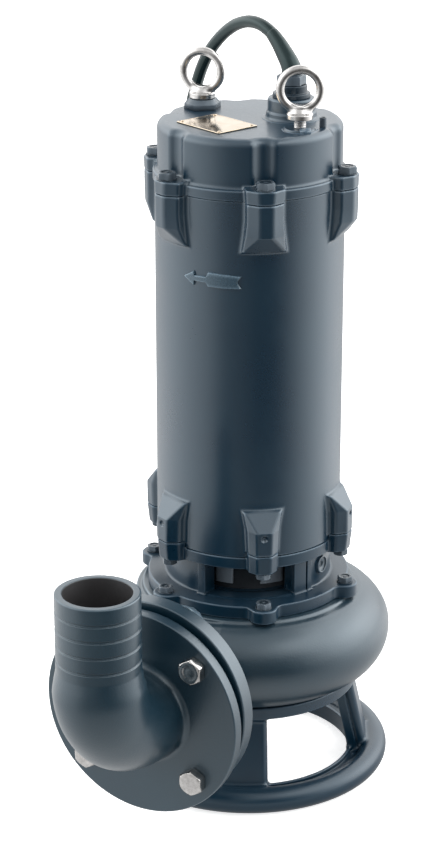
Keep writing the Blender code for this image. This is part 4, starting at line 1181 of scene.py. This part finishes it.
EYE_RIGHT = (0.0620, 74.0)
EYE_LEFT = (0.0620, -106.0)
GLAND = (0.0380, 124.5)
under = COVER_TOP - 0.0030
turret = turned(
    upright(*GLAND),
    [
        (0.0272, under),
        (0.0272, COVER_TOP + 0.0002),
        (0.0236, COVER_TOP + 0.0002, 0.0030),
        (0.0232, COVER_TOP + 0.0060, 0.0020),
        (0.0220, COVER_TOP + 0.0075, 0.0020),
        (0.0218, 0.6705, 0.0022),
        (0.0030, 0.6705),
    ],
    72,
)
pad = turned(
    upright(*EYE_RIGHT),
    [
        (0.0165, under),
        (0.0165, COVER_TOP + 0.0001),
        (0.0141, COVER_TOP + 0.0001, 0.0010),
        (0.0140, COVER_TOP + 0.0017, 0.0007),
        (0.0020, COVER_TOP + 0.0017),
    ],
    48,
)
boss_axis = upright(*EYE_LEFT, 38.5)
turns = [radians(60.0 * side) for side in range(6)]
levels = ((0.0176, -0.0030), (0.0173, 0.0048), (0.0169, 0.0054), (0.0137, 0.0091), (0.0132, 0.0094))
boss = skinned([ring_at(boss_axis, turns, [(radius, COVER_TOP + rise)] * 6) for radius, rise in levels])
rib_axis = upright(0.0722, 71.0, 28.5)
loops = []
for inset, rise in ((0.0, -0.0030), (0.0, 0.0018), (0.0007, 0.0025)):
    spots = [(a * (0.0050 - inset), b * (0.0060 - inset), COVER_TOP + rise) for a, b in FOUR_CORNERS]
    loops.append([rib_axis @ Vector(spot) for spot in spots])
fit(shape("cover_bosses", turret, pad, skinned(loops)), smooth_paint, "cast_paint")
fit(shape("eye_boss", boss), bolt_paint, "cast_paint")


# Cover bolts: six steel bolts that hold the cover on the motor shell. Their hexagon heads stand on
# thin washers on the ears and are painted over.
for number in range(6):
    axis = lug_axis(number, LUG_BOLT_CIRCLE)
    ring = washer(axis, 0.0092, EAR_TOP - 0.0004, EAR_TOP + 0.0010, 36)
    head = hexagon(axis, 0.0160, EAR_TOP + 0.0008, EAR_TOP + 0.0072, dished=True)
    bolt = shape(f"cover_screw_{number + 1}", head, ring)
    fit(bolt, bolt_paint, "painted_bolt", f"cover_bolt_{number + 1}")


# Eye bolts: forged rings on coned collars, bright zinc plated. The right one is screwed in with two
# threads to spare, the left one down to its boss.
EYE_RING_RADIUS = 0.0182
EYE_RING_TUBE = 0.0040
COLLAR_RISE = np.array([0.0046, 0.0066, 0.0105])
COLLAR_RADII = [0.0119, 0.0092, 0.0064]


def moved(part, matrix):
    """A part in place: its points moved and its normals turned."""
    turn = np.array(matrix.to_3x3())
    points = part[0] @ turn.T + np.array(matrix.translation)
    return points, part[1], part[2] @ turn.T


def eye_and_collar(collar_low):
    """Distance to the ring, upright in the X Z plane with its middle at the origin, and its collar."""

    def distance(x, y, z):
        ring = np.hypot(np.hypot(x, z) - EYE_RING_RADIUS, y) - EYE_RING_TUBE
        radius = np.interp(z, collar_low + COLLAR_RISE, COLLAR_RADII)
        collar = rounded(0.0009, (np.hypot(x, y) - radius) * 0.8, z + 0.0150, collar_low - z)
        throat = np.hypot(x, z) - (EYE_RING_RADIUS - EYE_RING_TUBE)
        return np.maximum(blend(ring, collar, 0.0050), -rounded(0.001, throat, np.abs(y) - 0.02))

    return distance


for side, place, centre, turn, base, free in (
    ("right", EYE_RIGHT, 0.6876, 28.5, COVER_TOP + 0.0018, 0.0078),
    ("left", EYE_LEFT, 0.6862, 11.5, COVER_TOP + 0.0096, 0.0),
):
    collar_low = base + free - centre
    part = cast_skin(
        eye_and_collar(collar_low),
        steps((-0.0236, 0.0236, 0.0008)),
        steps((-0.0136, 0.0136, 0.0008)),
        steps((collar_low - 0.0016, 0.0236, 0.0008)),
        lambda *spot: spot,
    )
    axis = upright(*place, turn)
    parts = [moved(part, axis @ Matrix.Translation((0.0, 0.0, centre)))]
    if free:
        parts.append(thread(axis, 0.0058, 0.0018, base - 0.0010, base + free + 0.0010))
    fit(shape(f"lifting_eye_{side}", *parts), zinc, "zinc_steel", f"eye_bolt_{side}")


# Nameplate: a thin plate of polished brass that mirrors the eye bolt's boss behind it, bare, held by
# four small drive rivets.
PLATE_SIZE = (0.0600, 0.0465, 0.0010)
PLATE_PLACE = (0.0390, -23.2)
PLATE_TURN = -21.5
plate_metal = mottled_finish(
    "nameplate_brass",
    (60.0, 3.0),
    ((0.52, 0.42, 0.30), (0.60, 0.52, 0.42)),
    gloss=(0.07, 0.13),
    spread=(0.35, 0.7),
    relief=(0.10, 0.0004, (380.0, 4.0), 0.05, 1.0),
    Metallic=1.0,
)
axis = upright(*PLATE_PLACE, PLATE_TURN)
seat = COVER_TOP + 0.0002
half_across, half_along = PLATE_SIZE[0] / 2, PLATE_SIZE[1] / 2
plate_rings = (
    (0.0, 0.0, 0.0012),
    (0.0, 0.0008, 0.0012),
    (0.0003, PLATE_SIZE[2], 0.0012),
    (0.0012, PLATE_SIZE[2], 0.0010),
    (0.0015, PLATE_SIZE[2] - 0.0002, 0.0009),
)
loops = []
for inset, rise, radius in plate_rings:
    ring = round_corners(half_across - inset, half_along - inset, radius, 5)
    loops.append([axis @ Vector((across, along, seat + rise)) for across, along in ring])
rivets = []
for a, b in FOUR_CORNERS:
    spot = axis @ Matrix.Translation((a * (half_across - 0.0040), b * (half_along - 0.0040), seat))
    dome = [(0.0016, 0.0), (0.0016, 0.0010), (0.0014, 0.0014), (0.0009, 0.0017), (0.0003, 0.0018)]
    rivets.append(turned(spot, dome, 16))
plate = shape("bare_nameplate", skinned(loops), *rivets)
fit(plate, plate_metal, "plate_metal", "nameplate")


# Earth screw: a small cap screw on the cover for the earth wire, of steel and painted over, with a
# hexagon socket in its top.
axis = upright(0.0735, 91.5)
high = COVER_TOP + 0.0088
cap = [(0.0015, COVER_TOP), (0.0032, COVER_TOP), (0.0032, high, 0.0005), (0.0018, high)]
cap += [(0.0017, high - 0.0013), (0.0002, high - 0.0015)]
fit(shape("earth_cap_screw", turned(axis, cap, 24)), bolt_paint, "painted_bolt", "earth_screw")


# Cable gland: a stepped body and a round-shouldered hexagon nut that squeezes the rubber seal round
# the cable. Both are cast, screwed into the turret and painted over with the cover.
axis = upright(*GLAND)
body = turned(
    axis,
    [
        (0.0030, 0.6706),
        (0.0175, 0.6706, 0.0006),
        (0.0175, 0.6748, 0.0010),
        (0.0145, 0.6752, 0.0008),
        (0.0145, 0.6823, 0.0010),
        (0.0030, 0.6823),
    ],
    56,
)
fit(shape("gland_body_casting", body), bolt_paint, "cast_paint", "gland_body")
nut = hexagon(axis, 0.0240, 0.6825, GLAND_NUT_TOP - 0.0008)
collar = [(0.0030, 0.6890), (0.0100, 0.6890), (0.0100, GLAND_NUT_TOP, 0.0006), (0.0030, GLAND_NUT_TOP)]
gland_nut = shape("gland_nut_turned", nut, turned(axis, collar, 40))
fit(gland_nut, bolt_paint, "cast_paint", "gland_nut")


# Floor and light: a white studio floor that runs out into a white room. Soft lights stand to the left,
# to the right and above, and towards the camera it is dark, which the glossy paint mirrors. The
# tables give light by angle from the front, or by distance or height.
FLOOR_HALF = 9.0
ROOM_TOP = 4.0
ROOM_ROUND = (
    (-180, 0.85), (-150, 1.0), (-130, 1.45), (-110, 1.75), (-90, 1.7), (-70, 1.4), (-50, 1.05),
    (-38, 0.60), (-28, 0.34), (-10, 0.26), (10, 0.10), (30, 0.13), (42, 0.35), (52, 0.65), (70, 1.3),
    (90, 2.0), (110, 2.3), (130, 1.75), (150, 1.0), (180, 0.85),
)
# Painted shadow: the floor's glow dims close to the pump, round the foot, in place of the shadow the pump
# would cast.
FLOOR_OUTWARD = ((0.13, 0.45), (0.20, 0.95), (0.27, 1.0))
FLOOR_FAR = (0.27, 0.80)
SOFTBOX_HEIGHTS = (0.42, 0.72)
SOFTBOX_ROUND = (
    (-180, 1.9), (-100, 2.3), (-60, 1.7), (-35, 1.0), (0, 1.0), (25, 1.6), (50, 3.0), (110, 3.2),
    (180, 1.9),
)
ZENITH_HEIGHTS = (0.84, 0.94)
ZENITH_LEVEL = 0.9
origin = from_view(0.0, 0.0, 0.0)
view_axes = (view_way(1.0, 0.0), view_way(0.0, -1.0))


def light_round(nodes, way, levels=ROOM_ROUND):
    """How light the room is in a direction, by its angle from the front; right is positive."""
    to_right, to_camera = (
        nodes.node("VectorMath", {"operation": "DOT_PRODUCT"}, (way, tuple(axis)), output="Value")
        for axis in view_axes
    )
    share = nodes.maths("ARCTAN2", to_right, to_camera).span(-pi, pi)
    stops = [((angle + 180) / 360, (power / ROOM_TOP,) * 3) for angle, power in levels]
    return nodes.node("ValToRGB", {"stops": stops}, Fac=share)


mesh = bpy.data.meshes.new("floor")
corners = [(a * FLOOR_HALF, b * FLOOR_HALF, 0.0) for a, b in FOUR_CORNERS]
mesh.from_pydata(corners, [], [(0, 1, 2, 3)])
floor = bpy.data.objects.new("floor", mesh)
bpy.context.scene.collection.objects.link(floor)
white, nodes, shader = new_finish("floor_white", Emission_Strength=0.85)
faint = noise(nodes, 2.0, 2.0)
colour = faint.mix((0.80, 0.80, 0.80), (0.83, 0.83, 0.83))
nodes.feed(shader, Base_Color=colour, Emission_Color=colour, Roughness=faint.span(0.0, 1.0, 0.85, 0.95))
place = nodes.node("TexCoord", output="Object")
from_axis = nodes.node("VectorMath", {"operation": "SUBTRACT"}, (place, tuple(origin)), output="Vector")
outward = nodes.node("VectorMath", {"operation": "LENGTH"}, (from_axis,), output="Value")
# Painted shadow: dimmer glow near the pump's axis.
stops = [(reach, (power / ROOM_TOP,) * 3) for reach, power in FLOOR_OUTWARD]
near_light = nodes.node("ValToRGB", {"stops": stops}, Fac=outward)
light = outward.span(*FLOOR_FAR).mix(near_light, light_round(nodes, from_axis))
glow = nodes.node("Emission", Color=light, Strength=ROOM_TOP)
seen = nodes.node("LightPath", output="Is Camera Ray")
surface = nodes.node("MixShader", {}, (seen, glow, Link(nodes.tree, shader.outputs["BSDF"])))
nodes.tree.links.new(surface.socket, nodes.tree.nodes["Material Output"].inputs["Surface"])
floor.data.materials.append(white)

world = bpy.data.worlds.new("studio")
bpy.context.scene.world = world
world.use_nodes = True
room = Link(world.node_tree)
way = room.node("TexCoord", output="Generated")
height = room.node("SeparateXYZ", output="Z", Vector=way)
growth = height.span(0.0, 0.5, 1.4, 2.3)
walls = light_round(room, way)
lifted = room.node("VectorMath", {"operation": "SCALE"}, (walls,), output="Vector", Scale=growth)
softbox = light_round(room, way, SOFTBOX_ROUND)
wide = height.span(*SOFTBOX_HEIGHTS).mix(lifted, softbox)
level = height.span(*ZENITH_HEIGHTS).mix(wide, (ZENITH_LEVEL / ROOM_TOP,) * 3)
clear = room.node("LightPath", output="Is Camera Ray").mix(level, (0.3, 0.3, 0.3))
room.feed(world.node_tree.nodes["Background"], Color=clear, Strength=ROOM_TOP)
